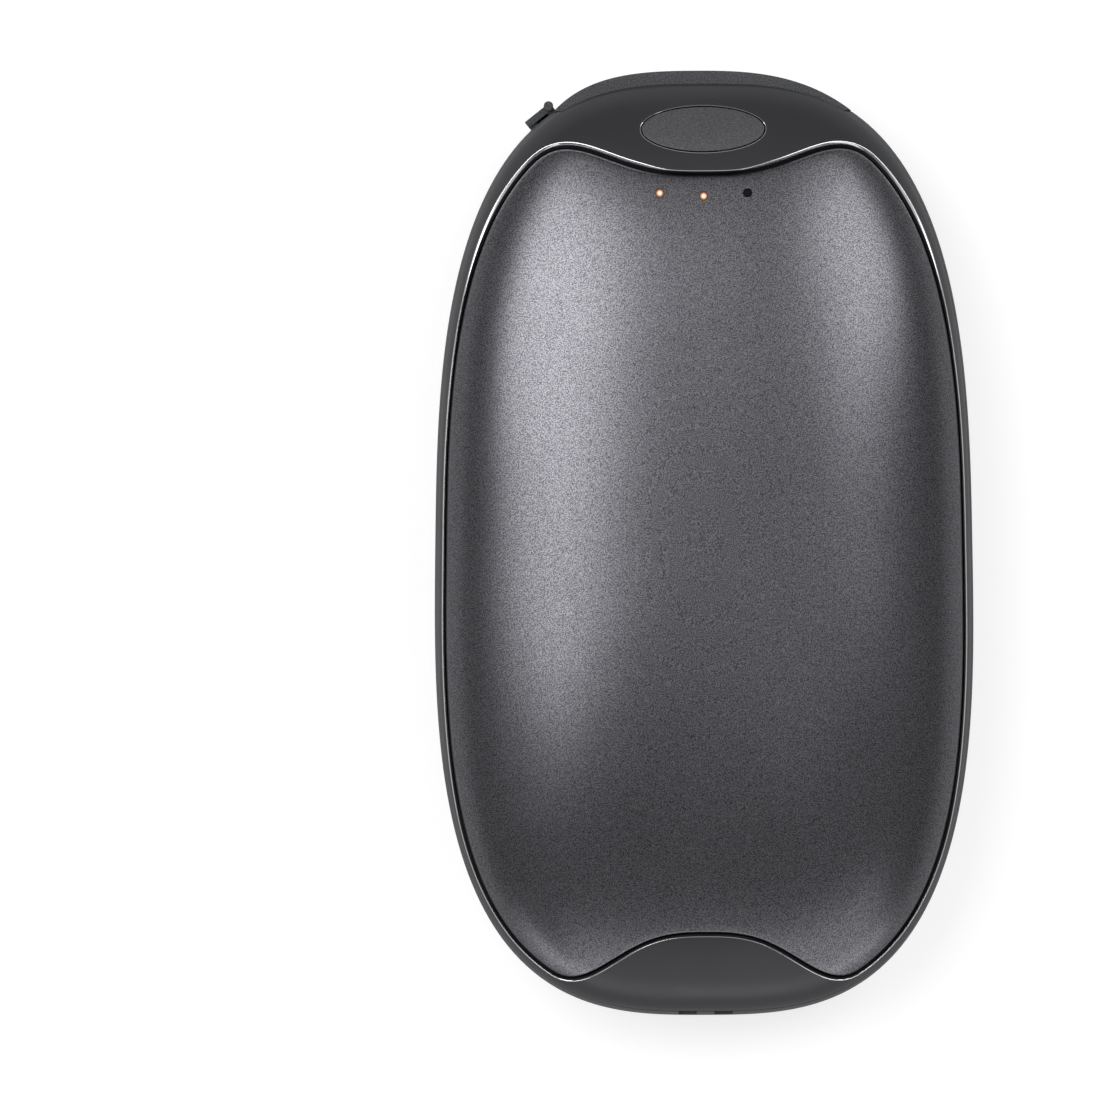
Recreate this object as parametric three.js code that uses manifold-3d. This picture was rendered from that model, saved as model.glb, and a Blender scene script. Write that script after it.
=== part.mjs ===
// Rechargeable hand warmer: a palm-sized pebble with a flat rear face and a domed aluminium
// heat plate. It lies on its rear face, in millimetres, +Z up through the dome and +Y towards
// the end that holds the power button and the charging ports.

import * as THREE from 'three';
import { mergeVertices } from 'three/addons/utils/BufferGeometryUtils.js';
import Module from 'manifold-3d';

const wasm = await Module();
wasm.setup();

// Fits and finish of every piece
const clearance = 0.3;
const solderGap = 0.1;
const overrun = 1;
const weldDistance = 0.0001;

// Outline of the body, seen from above: a rounded oblong, a little narrower at the button end
const bodyWidth = 61.6;
const bodyLength = 107.2;
const outlinePower = 2.95;
const taperShare = 0.025;
const outlineSteps = 72;

// Height of the body and the two curves that meet at its widest section
const bodyThickness = 23;
const girthHeight = 8;
const crownPower = 2.2;
const crownSteps = 8;
const bellyPower = 2.6;
const bellySideDraw = 2.8;
const bellyEndDraw = 5;
const bellyStepShares = [0.94, 0.88, 0.78, 0.62, 0.4, 0.18];

// Side wall of the housing
const sideWall = 2.4;
const endWall = 3.9;

// Rear cover, its raised pad and the seam round it
const coverSideInset = 1.75;
const coverEndInset = 2.95;
const coverFaceHeight = 0.35;
const coverThickness = 1.55;
const padSideInset = 5.2;
const padEndInset = 7.2;
const padChamfer = 0.3;
const notchDepth = 1.5;
const notchHalfWidth = 14.6;
const notchFlare = 1.2;

// Recessed heat-wave ribbons on the pad
const ribbonCount = 5;
const ribbonPitch = 8.2;
const ribbonWidth = 3.4;
const ribbonSwing = 1.9;
const ribbonWaveLength = 27;
const ribbonDepth = 0.4;
const ribbonShiftY = 2;
const ribbonLengths = [38, 50, 58, 50, 38];
const ribbonSteps = 14;

// Front bezel: the thin rim, the button end, the lower lip and the ledge under the plate
const bezelWall = 1.8;
const bezelShares = [0.95, 0.82, 0.5];
const rimSlopeShare = 0.08;
const rimSlopeDrop = 0.5;
const ledgeDepth = 1.15;
const ledgeReach = 2.2;
const ledgeRise = 0.4;
const ledgeRootShare = 0.25;
const ledgeHeelShare = 0.37;
const lipHeight = 1.2;
const lipWall = 0.7;
const lipBossGap = 2;

// Heat plate with a wave at each end; its edge lies where the dome stands high enough over the ledge
const plateSideRise = 0.745;
const plateEndRise = 0.174;
const plateTopInset = 3.6;
const platePower = 2.97;
const plateSink = 0.15;
const plateThickness = 1;
const plateEdgeDrop = 0.45;
const plateEdgeUndercut = 0.8;
const plateRollWidth = 0.9;
const wavePower = 1.4;
const topWaveDepth = 7.4;
const topWaveHalfSpan = 19.5;
const endWaveDepth = 7.7;
const endWaveHalfSpan = 17;
const plateRingShares = [0.2, 0.42, 0.62, 0.78, 0.9];
const underRingShares = [0.35, 0.62, 0.82, 0.91, 0.96];

// Power button and the switch under it
const buttonInset = 5.8;
const buttonLength = 13.5;
const buttonWidth = 4.8;
const buttonThickness = 1.3;
const buttonTravel = 0.6;
const flangeReach = 1.2;
const flangeThickness = 0.9;
const ellipseSteps = 28;
const innerSteps = 28;
const switchWidth = 3;
const switchHeight = 0.7;
const plungerRadius = 0.8;
const stemRadius = 1;
const stemMargin = 0.1;

// Indicator lights
const indicatorPitch = 5;
const indicatorSetback = 2.25;
const indicatorDip = 0.35;
const indicatorHoleRadius = 0.55;
const pipeTipRadius = 0.42;
const pipeBaseRadius = 0.9;
const ledLength = 1.6;
const ledWidth = 0.8;
const ledHeight = 0.6;
const shroudMargin = 1;
const shroudGap = 1;

// Charging end: the port wall, the sockets and the rubber cover
const portFloorInset = 3.7;
const portWall = 1.6;
const portBridge = 0.7;
const recessBottom = 3;
const coverStandoff = 1;
const coverHingeStandoff = 0.65;
const coverHingeThickness = 0.77;
const coverTipStandoff = 0.1;
const coverTipThickness = 0.5;
const hingeCurvePower = 6;
const tipCurvePower = 1.8;
const coverEdgeRound = 0.5;
const coverSkin = 1.5;
const coverSteps = 20;
const sheetMetal = 0.3;
const usbAX = -6.75;
const usbAWidth = 13.1;
const usbAHeight = 5.7;
const usbALength = 12.5;
const usbCX = 8.2;
const usbCWidth = 8.94;
const usbCHeight = 3.16;
const usbCLength = 7.3;
const slotSteps = 8;
const tongueSetback = 1.5;
const plugDepth = 1.1;
const plugFarClearance = 1;

// Rubber anchor strap beside the cover
const strapThickness = 0.8;
const strapLength = 3.6;
const strapHeight = 3;
const strapSlit = 0.3;
const strapFootLength = 1;
const strapPlugDepth = 0.9;

// Wrist-cord slots at the lower end
const cordSlotWidth = 2.1;
const cordSlotHeight = 1.3;
const cordSlotPitch = 4.1;
const cordSlotDepth = 2.6;
const cordBarThickness = 1.4;

// Circuit boards and what they carry
const boardThickness = 1;
const boardBottom = 2.5;
const boardHalfWidth = 17.5;
const boardMargin = 0.5;
const chipSize = 4;
const chipHeight = 0.9;
const chipGap = 1.8;
const inductorSize = 5;
const inductorHeight = 3;
const inductorX = 4.2;
const headerLength = 4;
const headerWidth = 2;
const upperBoardGap = 0.9;
const upperBoardHalfWidth = 11.5;
const upperBoardLength = 12.6;
const boardPostRadius = 1.1;
const boardPostSideInset = 2.9;
const boardPostEndInset = 3.2;
const footRadius = 1.4;

// Battery, its bracket and the heater stack
const batteryEndRoom = 10.7;
const batteryBoardGap = 2;
const batteryRound = 1.6;
const terraceInset = 4;
const terraceLength = 3.5;
const terraceHeight = 1;
const bracketThickness = 1;
const bracketLegWidth = 7;
const bracketEndInset = 8;
const bracketRib = 9;
const bracketRail = 6;
const filmThickness = 0.4;
const filmPower = 5;
const foamSideInset = 1;
const foamEndInset = 2;
const foamEdgeThickness = 3.2;
const leadRadius = 0.5;
const leadSides = 8;
const leadSteps = 7;
const heaterLeadInset = 2.3;
const leadSpacing = 3.9;

// Magnets that hold a second warmer to the rear face
const magnetWidth = 2.6;
const magnetLength = 12;
const magnetHeight = 2.6;
const pocketWall = 0.6;
const pocketHeight = 2;

// Screws that pull the bezel down, and the snap hooks of the rear cover
const screwRadius = 1;
const screwHeadRadius = 1.9;
const screwHeadHeight = 1.2;
const screwSides = 12;
const bossRadius = 2.1;
const bossBottom = 5.4;
const bossInset = 1.3;
const bossAnglesDegrees = [45, 135, -60, -120];
const screwBite = 1.6;
const wingWidth = 3;
const wingReach = 4.5;
const hookAnglesDegrees = [0, 180, 27, 153, -34, -146, -90];
const shoulderHookIndex = 2;
const hookWidth = 4;
const hookThickness = 1.1;
const hookHeight = 3.2;
const hookBarb = 0.5;

// Worked out from the sizes above
const halfWidth = bodyWidth / 2;
const halfLength = bodyLength / 2;
const crownHeight = bodyThickness - girthHeight;
const portFloorY = halfLength - portFloorInset;
const portWallY = portFloorY - portWall;
const coverBack = portFloorY + clearance;
const coverHingeY = coverBack + coverHingeThickness - coverHingeStandoff;
const coverTipY = coverBack + coverTipThickness - coverTipStandoff;
const coverHingeX = -outlineHalfWidth(coverHingeY, halfWidth, halfLength);
const coverTipX = outlineHalfWidth(coverTipY, halfWidth, halfLength);
const coverInside = coverFaceHeight + coverThickness;
const boardTop = boardBottom + boardThickness;
const chipY = portFloorY - usbALength - clearance - solderGap - chipSize / 2;
const headerY = portFloorY - usbCLength - clearance - headerWidth / 2;
const inductorY = headerY - headerWidth / 2 - clearance - inductorSize / 2;
const boardStart = chipY - chipSize / 2 - boardMargin;
const heaterLeadX = boardHalfWidth - heaterLeadInset;
const batteryTabX = heaterLeadX - leadSpacing;
const splitHeight = boardTop + usbAHeight + clearance * 2 + portBridge;
const upperBoardBottom = boardTop + solderGap + usbAHeight + upperBoardGap;
const upperBoardTop = upperBoardBottom + boardThickness;
const flangeLimitY = portWallY - clearance * 2;
const upperBoardEnd = flangeLimitY - solderGap;
const plateInset = plateSink + plateThickness;
const ledgeInset = plateInset + clearance;
const ledgeTop = splitHeight + ledgeRise;
const plateSeat = ledgeTop + clearance;
const plateHalfWidth = halfWidth * domeSpread(plateSeat + plateThickness + plateSideRise);
const plateEndY = halfLength * domeSpread(plateSeat + plateThickness + plateEndRise);
const plateTopY = halfLength - plateTopInset;
const plateHalfLength = (plateTopY + plateEndY) / 2;
const plateShiftY = (plateTopY - plateEndY) / 2;
const filmInset = plateInset + clearance;
const foamInset = filmInset + filmThickness + clearance;
const buttonY = halfLength - buttonInset;
const indicatorY = plateTopY - topWaveDepth - indicatorSetback;
const shroudHalf = pipeBaseRadius + clearance + shroudMargin;
const shroudReach = indicatorPitch + shroudHalf;
const shroudTop = domeHeight(shroudReach, indicatorY + shroudHalf, plateInset) - shroudGap;
const fullTurn = Math.PI * 2;

// Solids and booleans

function toSolid(geometry) {
  const bare = geometry.clone();
  for (const name of Object.keys(bare.attributes)) {
    if (name !== 'position') bare.deleteAttribute(name);
  }
  const merged = mergeVertices(bare, weldDistance);
  const corners = merged.index.array;
  const triangles = [];
  for (let i = 0; i < corners.length; i += 3) {
    const [a, b, c] = [corners[i], corners[i + 1], corners[i + 2]];
    if (a !== b && b !== c && c !== a) triangles.push(a, b, c);
  }
  return new wasm.Manifold(new wasm.Mesh({
    numProp: 3,
    vertProperties: Float32Array.from(merged.attributes.position.array),
    triVerts: Uint32Array.from(triangles),
  }));
}

function toGeometry(solid) {
  const mesh = solid.getMesh();
  const geometry = new THREE.BufferGeometry();
  geometry.setAttribute('position', new THREE.BufferAttribute(mesh.vertProperties, 3));
  geometry.setIndex(new THREE.BufferAttribute(mesh.triVerts, 1));
  geometry.computeVertexNormals();
  return geometry;
}

function join(first, ...others) {
  return others.reduce((sum, other) => sum.add(other), first);
}

function cut(body, ...tools) {
  return tools.reduce((rest, tool) => rest.subtract(tool), body);
}

// Plan outlines

function outlinePoint(angle, wide, long, power = outlinePower, shiftY = 0) {
  const across = Math.cos(angle);
  const along = Math.sin(angle);
  const norm = (Math.abs(across) ** power + Math.abs(along) ** power) ** (1 / power);
  const y = long * along / norm;
  const x = wide * across / norm * (1 - taperShare * y / halfLength);
  return new THREE.Vector2(x, y + shiftY);
}

// How far an outline reaches across at a place along the body
function outlineHalfWidth(y, wide, long) {
  const across = (1 - Math.abs(y / long) ** outlinePower) ** (1 / outlinePower);
  return wide * across * (1 - taperShare * y / halfLength);
}

function outline(wide, long, power = outlinePower, shiftY = 0, steps = outlineSteps) {
  const points = [];
  for (let i = 0; i < steps; i += 1) {
    points.push(outlinePoint(fullTurn * i / steps, wide, long, power, shiftY));
  }
  return points;
}

function wave(x, depth, halfSpan) {
  if (Math.abs(x) >= halfSpan) return 0;
  return depth * (1 + Math.cos(Math.PI * Math.abs(x / halfSpan) ** wavePower)) / 2;
}

function plateOutline(growth) {
  const base = outline(plateHalfWidth + growth, plateHalfLength + growth, platePower, plateShiftY);
  return base.map((p) => {
    if (p.y > 0) return new THREE.Vector2(p.x, p.y - wave(p.x, topWaveDepth, topWaveHalfSpan));
    return new THREE.Vector2(p.x, p.y + wave(p.x, endWaveDepth, endWaveHalfSpan));
  });
}

function ellipseOutline(wide, high, centreX = 0, centreY = 0) {
  const shape = new THREE.Path();
  shape.absellipse(centreX, centreY, wide, high, 0, fullTurn, false, 0);
  return shape.getPoints(ellipseSteps / 2).slice(0, -1);
}

function rectangle(x0, y0, x1, y1) {
  return [
    new THREE.Vector2(x0, y0),
    new THREE.Vector2(x1, y0),
    new THREE.Vector2(x1, y1),
    new THREE.Vector2(x0, y1),
  ];
}

// Building blocks

function prism(points, bottom, top) {
  const geometry = new THREE.ExtrudeGeometry(new THREE.Shape(points), {
    depth: top - bottom,
    bevelEnabled: false,
    curveSegments: outlineSteps,
  });
  return toSolid(geometry.translate(0, 0, bottom));
}

function block(x0, y0, z0, x1, y1, z1) {
  const geometry = new THREE.BoxGeometry(x1 - x0, y1 - y0, z1 - z0);
  return toSolid(geometry.translate((x0 + x1) / 2, (y0 + y1) / 2, (z0 + z1) / 2));
}

function post(x, y, radius, bottom, top, sides = screwSides) {
  const geometry = new THREE.CylinderGeometry(radius, radius, top - bottom, sides);
  geometry.rotateX(Math.PI / 2);
  return toSolid(geometry.translate(x, y, (bottom + top) / 2));
}

// A closed skin over a run of rings, each anticlockwise from above. Two centres close its ends
// with fans; without them the last ring meets the first and the skin is a hoop.
function skin(rings, startCentre, endCentre) {
  const count = rings[0].length;
  const positions = [];
  for (const ring of rings) for (const p of ring) positions.push(p.x, p.y, p.z);
  const index = [];
  const links = startCentre ? rings.length - 1 : rings.length;
  for (let r = 0; r < links; r += 1) {
    const [a, b] = [r * count, (r + 1) % rings.length * count];
    for (let i = 0; i < count; i += 1) {
      const j = (i + 1) % count;
      index.push(a + i, a + j, b + j, a + i, b + j, b + i);
    }
  }
  if (startCentre) {
    const start = rings.length * count;
    const last = start - count;
    positions.push(startCentre.x, startCentre.y, startCentre.z);
    positions.push(endCentre.x, endCentre.y, endCentre.z);
    for (let i = 0; i < count; i += 1) {
      const j = (i + 1) % count;
      index.push(start, j, i, start + 1, last + i, last + j);
    }
  }
  const geometry = new THREE.BufferGeometry();
  geometry.setAttribute('position', new THREE.Float32BufferAttribute(positions, 3));
  geometry.setIndex(index);
  return toSolid(geometry);
}

function ringAt(points, height) {
  return points.map((p) => new THREE.Vector3(p.x, p.y, height));
}

// The dome, and the share of the outline that it keeps at a height

function domeSpread(height) {
  const rise = (height - girthHeight) / crownHeight;
  return (1 - rise ** crownPower) ** (1 / crownPower);
}

function domeHeight(x, y, inset) {
  const wide = (halfWidth - inset) * (1 - taperShare * y / halfLength);
  const reach = Math.abs(x / wide) ** outlinePower + Math.abs(y / (halfLength - inset)) ** outlinePower;
  const flat = Math.min(1, reach ** (crownPower / outlinePower));
  return girthHeight + (crownHeight - inset) * (1 - flat) ** (1 / crownPower);
}

// Everything under the dome surface that lies inset from the outer one
function domeSolid(inset) {
  const [wide, long] = [halfWidth - inset, halfLength - inset];
  const rings = [ringAt(outline(wide, long), 0)];
  for (let k = 0; k < crownSteps; k += 1) {
    const rise = Math.PI / 2 * k / crownSteps;
    const [across, up] = [Math.cos(rise), Math.sin(rise)];
    const norm = (across ** crownPower + up ** crownPower) ** (1 / crownPower);
    const height = girthHeight + (crownHeight - inset) * up / norm;
    rings.push(ringAt(outline(wide * across / norm, long * across / norm), height));
  }
  const apex = new THREE.Vector3(0, 0, bodyThickness - inset);
  return skin(rings, new THREE.Vector3(), apex);
}

function domeShell(outerInset, innerInset) {
  return cut(domeSolid(outerInset), domeSolid(innerInset));
}

function lifted(points, heightOf) {
  return points.map((p) => new THREE.Vector3(p.x, p.y, heightOf(p.x, p.y)));
}

function blend(from, to, share) {
  return from.map((p, i) => p.clone().lerp(to[i], share));
}

// A sheet that follows two height rules between its plan outlines and its middle
function crownedSheet(sheet) {
  const { top, bottom, topShares, bottomShares, topOf, bottomOf } = sheet;
  const edgeTopOf = sheet.edgeTopOf ?? topOf;
  const centre = new THREE.Vector2();
  for (const p of top) centre.addScaledVector(p, 1 / top.length);
  const middle = top.map(() => centre);
  const rings = [
    ...bottomShares.map((share) => lifted(blend(middle, bottom, share), bottomOf)),
    lifted(bottom, bottomOf),
    lifted(top, edgeTopOf),
    ...topShares.map((share) => lifted(blend(middle, top, share), topOf)).reverse(),
  ];
  const startCentre = new THREE.Vector3(centre.x, centre.y, bottomOf(centre.x, centre.y));
  const endCentre = new THREE.Vector3(centre.x, centre.y, topOf(centre.x, centre.y));
  return skin(rings, startCentre, endCentre);
}

// The belly below the widest section, and the whole outer form up to the split line
function bellyDraw(height) {
  const drop = (girthHeight - height) / girthHeight;
  return 1 - (1 - drop ** bellyPower) ** (1 / bellyPower);
}

function bodySolid() {
  const rings = [];
  for (const share of bellyStepShares) {
    const height = girthHeight * (1 - share);
    const draw = bellyDraw(height);
    const wide = halfWidth - bellySideDraw * draw;
    const long = halfLength - bellyEndDraw * draw;
    rings.push(ringAt(outline(wide, long), height));
  }
  const crownLevels = [girthHeight, (girthHeight + splitHeight) / 2, splitHeight];
  for (const height of crownLevels) {
    const scale = domeSpread(height);
    rings.push(ringAt(outline(halfWidth * scale, halfLength * scale), height));
  }
  const [first, last] = [rings[0][0].z, splitHeight];
  return skin(rings, new THREE.Vector3(0, 0, first), new THREE.Vector3(0, 0, last));
}

// Places shared by several pieces

const bosses = bossAnglesDegrees.map((degrees) => {
  const angle = THREE.MathUtils.degToRad(degrees);
  const centre = outlinePoint(angle, halfWidth - sideWall - bossInset, halfLength - endWall - bossInset);
  const outward = outlinePoint(angle, halfWidth, halfLength).sub(centre).normalize();
  const top = domeHeight(centre.x, centre.y, ledgeInset);
  return { centre, outward, top };
});

const hooks = hookAnglesDegrees.map((degrees) => {
  const angle = THREE.MathUtils.degToRad(degrees);
  const nudge = Math.PI / outlineSteps;
  const [wide, long] = [halfWidth - sideWall, halfLength - endWall];
  const foot = outlinePoint(angle, wide, long);
  const ahead = outlinePoint(angle + nudge, wide, long);
  const behind = outlinePoint(angle - nudge, wide, long);
  return { foot, heading: Math.atan2(ahead.y - behind.y, ahead.x - behind.x) - Math.PI / 2 };
});

// Each magnet's pocket fits between the side wall and the hook above it
const shoulderHook = hooks[shoulderHookIndex];
const magnetRoom = new THREE.Vector2(magnetWidth / 2 + clearance, magnetLength / 2 + clearance);
const pocketEndY = shoulderHook.foot.y - hookWidth / 2 - clearance;
const magnetY = pocketEndY - pocketWall - magnetRoom.y;
const pocketSideX = outlineHalfWidth(pocketEndY, halfWidth - sideWall, halfLength - endWall) - clearance;
const magnetX = pocketSideX - pocketWall - magnetRoom.x;

// The cell fills the room that the boards, the magnets and the dome leave it
const batteryEnd = boardStart - batteryBoardGap - terraceLength;
const batteryStart = endWall + batteryEndRoom - halfLength;
const batteryLength = batteryEnd - batteryStart;
const batteryY = (batteryEnd + batteryStart) / 2;
const bracketHalfWidth = magnetX - magnetRoom.x - pocketWall - clearance;
const batteryWidth = (bracketHalfWidth - bracketThickness - clearance) * 2;
const terraceWidth = batteryWidth - terraceInset * 2;
const filmHalfWidth = batteryWidth / 2;
const filmHalfLength = batteryLength / 2;
const foamHalfWidth = filmHalfWidth - foamSideInset;
const foamHalfLength = filmHalfLength - foamEndInset;
const foamEdge = outline(foamHalfWidth, foamHalfLength, filmPower, batteryY, innerSteps);
const foamRoof = Math.min(...foamEdge.map((p) => domeHeight(p.x, p.y, foamInset)));
const foamBottom = foamRoof - foamEdgeThickness;
const bracketTop = foamBottom - clearance;
const bracketBottom = bracketTop - bracketThickness;
const batteryBottom = coverInside + clearance;
const batteryHeight = bracketBottom - clearance - batteryBottom;

// A profile in the outward-and-up plane, swept along the wall and set at a hook's place
function hookSweep(profile, width, hook) {
  const geometry = new THREE.ExtrudeGeometry(new THREE.Shape(profile), {
    depth: width,
    bevelEnabled: false,
  });
  geometry.translate(0, 0, -width / 2);
  geometry.rotateX(Math.PI / 2);
  geometry.rotateZ(hook.heading);
  return toSolid(geometry.translate(hook.foot.x, hook.foot.y, 0));
}

const hookTop = coverInside + hookHeight;
const hookBarbBottom = hookTop - hookThickness;

function cavityPrism(bottom, top, growth = 0) {
  const wide = halfWidth - sideWall + growth;
  const long = halfLength - endWall + growth;
  return cut(
    prism(outline(wide, long), bottom, top),
    block(-halfWidth, portWallY + growth, bottom - overrun, halfWidth, halfLength, top + overrun),
  );
}

// The step in the cover's upper edge, where the housing shows as a smooth band
function notchBlock(growth, bottom, top) {
  const half = notchHalfWidth + growth;
  const outer = new THREE.Vector2(half + notchFlare, halfLength);
  const inner = new THREE.Vector2(half, halfLength - coverEndInset - notchDepth * 2 - growth);
  const mirror = (p) => new THREE.Vector2(-p.x, p.y);
  const sector = prism([inner, outer, mirror(outer), mirror(inner)], bottom, top);
  const keep = outline(
    halfWidth - coverSideInset - notchDepth - growth,
    halfLength - coverEndInset - notchDepth - growth,
  );
  return cut(sector, prism(keep, bottom - overrun, top + overrun));
}

// Housing

function midHousing() {
  const seatTop = coverInside + clearance;
  const seat = cut(
    prism(outline(halfWidth - coverSideInset, halfLength - coverEndInset), -overrun, seatTop),
    notchBlock(0, -overrun * 2, seatTop + overrun),
  );
  let body = cut(bodySolid(), cavityPrism(-overrun, splitHeight + overrun), seat);
  body = cut(body, coverRecess(), ...portOpenings(), ...cordSlots(), ...strapSockets());
  for (const { centre } of bosses) {
    const boss = post(centre.x, centre.y, bossRadius, bossBottom, splitHeight - clearance);
    const bore = post(centre.x, centre.y, screwRadius + clearance, 0, bodyThickness);
    const head = post(centre.x, centre.y, screwHeadRadius + clearance, coverInside + clearance, bossBottom);
    body = cut(join(body, boss), bore, head);
  }
  const groove = [
    new THREE.Vector2(-overrun, hookBarbBottom - clearance),
    new THREE.Vector2(hookBarb + clearance, hookBarbBottom - clearance),
    new THREE.Vector2(hookBarb + clearance, hookTop + clearance),
    new THREE.Vector2(-overrun, hookTop + clearance),
  ];
  for (const hook of hooks) body = cut(body, hookSweep(groove, hookWidth + clearance * 2, hook));
  return body;
}

function coverRecess() {
  return block(-halfWidth, portFloorY, recessBottom, halfWidth, bodyLength, splitHeight + overrun);
}

function portOpenings() {
  const bottom = boardTop;
  const open = (centreX, width, height, length) => block(
    centreX - width / 2 - clearance, portFloorY - length - clearance, bottom,
    centreX + width / 2 + clearance, portFloorY + overrun, bottom + height + clearance * 2,
  );
  return [
    open(usbAX, usbAWidth, usbAHeight, usbALength),
    open(usbCX, usbCWidth, usbCHeight, usbCLength),
  ];
}

// Two mouths and the passage that joins them behind a bar
function cordSlots() {
  const [low, top] = [splitHeight - cordSlotHeight, splitHeight + overrun];
  const end = cordSlotDepth - halfLength;
  const reach = (cordSlotPitch + cordSlotWidth) / 2;
  const mouths = [-1, 1].map((side) => {
    const x = side * cordSlotPitch / 2;
    return block(x - cordSlotWidth / 2, -bodyLength, low, x + cordSlotWidth / 2, end, top);
  });
  return [...mouths, block(-reach, cordBarThickness - halfLength, low, reach, end, top)];
}

// Rear cover

function ribbon(index) {
  const x = (index - (ribbonCount - 1) / 2) * ribbonPitch;
  const long = ribbonLengths[index];
  const edge = (side) => {
    const points = [];
    for (let i = 0; i <= ribbonSteps; i += 1) {
      const share = i / ribbonSteps;
      const y = ribbonShiftY + long * (share - 1 / 2);
      const swell = Math.sqrt(Math.sin(Math.PI * share));
      const swing = ribbonSwing * Math.sin(fullTurn * y / ribbonWaveLength);
      points.push(new THREE.Vector2(x + swing + side * ribbonWidth / 2 * swell, y));
    }
    return points;
  };
  const left = edge(-1).slice(1, -1).reverse();
  return [...edge(1), ...left];
}

function rearCover() {
  const [wide, long] = [halfWidth - coverSideInset - clearance, halfLength - coverEndInset - clearance];
  let body = cut(
    prism(outline(wide, long), coverFaceHeight, coverInside),
    notchBlock(clearance, coverFaceHeight - overrun, coverInside + overrun),
  );
  const padEdge = outline(halfWidth - padSideInset, halfLength - padEndInset);
  const padFace = outline(halfWidth - padSideInset - padChamfer, halfLength - padEndInset - padChamfer);
  const padMiddle = (height) => new THREE.Vector3(0, 0, height);
  const padRings = [
    ringAt(padFace, 0),
    ringAt(padEdge, coverFaceHeight),
    ringAt(padEdge, (coverFaceHeight + coverInside) / 2),
  ];
  body = join(body, skin(padRings, padMiddle(0), padMiddle((coverFaceHeight + coverInside) / 2)));
  for (let i = 0; i < ribbonCount; i += 1) {
    body = cut(body, prism(ribbon(i), -overrun, ribbonDepth));
  }
  body = join(body, ...magnetPockets(), ...boardFeet());
  const hookProfile = [
    new THREE.Vector2(-clearance - hookThickness, coverInside - coverThickness / 2),
    new THREE.Vector2(-clearance, coverInside - coverThickness / 2),
    new THREE.Vector2(-clearance, hookBarbBottom),
    new THREE.Vector2(hookBarb, hookBarbBottom),
    new THREE.Vector2(-clearance, hookTop),
    new THREE.Vector2(-clearance - hookThickness, hookTop),
  ];
  return join(body, ...hooks.map((hook) => hookSweep(hookProfile, hookWidth, hook)));
}

function magnetPlaces() {
  const places = [];
  for (const sideX of [-1, 1]) {
    for (const sideY of [-1, 1]) places.push(new THREE.Vector2(sideX * magnetX, sideY * magnetY));
  }
  return places;
}

function magnetPockets() {
  const half = magnetRoom;
  return magnetPlaces().map(({ x, y }) => {
    const rim = prism(rectangle(
      x - half.x - pocketWall, y - half.y - pocketWall,
      x + half.x + pocketWall, y + half.y + pocketWall,
    ), coverInside - coverThickness / 2, coverInside + pocketHeight);
    const well = prism(rectangle(
      x - half.x, y - half.y, x + half.x, y + half.y,
    ), coverInside, coverInside + pocketHeight + overrun);
    return cut(rim, well);
  });
}

function boardFeet() {
  const feet = [];
  const margin = footRadius * 2;
  for (const x of [-boardHalfWidth + margin, boardHalfWidth - margin]) {
    feet.push(post(x, boardStart + margin, footRadius, coverInside / 2, boardBottom - solderGap));
  }
  feet.push(post(0, portWallY - margin, footRadius, coverInside / 2, boardBottom - solderGap));
  return feet;
}

// Front bezel

function bezelHoop() {
  const spread = domeSpread(splitHeight);
  const mouth = plateOutline(clearance);
  const seam = outline(halfWidth * spread, halfLength * spread);
  const seat = plateOutline(-plateEdgeUndercut);
  const ledge = plateOutline(-ledgeReach);
  const wallFace = outline(halfWidth - sideWall, halfLength - endWall);
  const on = (inset) => (x, y) => domeHeight(x, y, inset);
  const onLedge = (x, y) => Math.max(domeHeight(x, y, ledgeInset), ledgeTop);
  const above = (inset) => (x, y) => Math.max(domeHeight(x, y, inset), splitHeight + ledgeRise / 2);
  return skin([
    ringAt(seam, splitHeight),
    ...[...bezelShares, rimSlopeShare].map((share) => lifted(blend(mouth, seam, share), on(0))),
    lifted(mouth, (x, y) => domeHeight(x, y, 0) - rimSlopeDrop),
    lifted(mouth, onLedge),
    lifted(seat, onLedge),
    lifted(ledge, on(ledgeInset + clearance)),
    lifted(ledge, on(ledgeInset + ledgeDepth)),
    lifted(blend(ledge, wallFace, ledgeRootShare), above(ledgeInset + ledgeDepth)),
    lifted(blend(ledge, wallFace, ledgeHeelShare), above(bezelWall)),
    lifted(blend(ledge, wallFace, 1 - ledgeRootShare / 2), above(bezelWall)),
    ringAt(wallFace, splitHeight),
  ]);
}

function bezelLip() {
  const ring = (inset) => outline(halfWidth - sideWall - inset, halfLength - endWall - inset);
  const reach = bosses[0].centre.y - bossRadius - lipBossGap;
  const middle = halfWidth - sideWall - clearance - lipWall / 2;
  const top = domeHeight(middle, 0, ledgeInset + ledgeDepth / 4);
  return cut(
    prism(ring(clearance), splitHeight - lipHeight, top),
    prism(ring(clearance + lipWall), 0, bodyThickness),
    block(-halfWidth, reach, 0, halfWidth, bodyLength, bodyThickness),
    block(-halfWidth, -bodyLength, 0, halfWidth, -reach, bodyThickness),
  );
}

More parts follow.
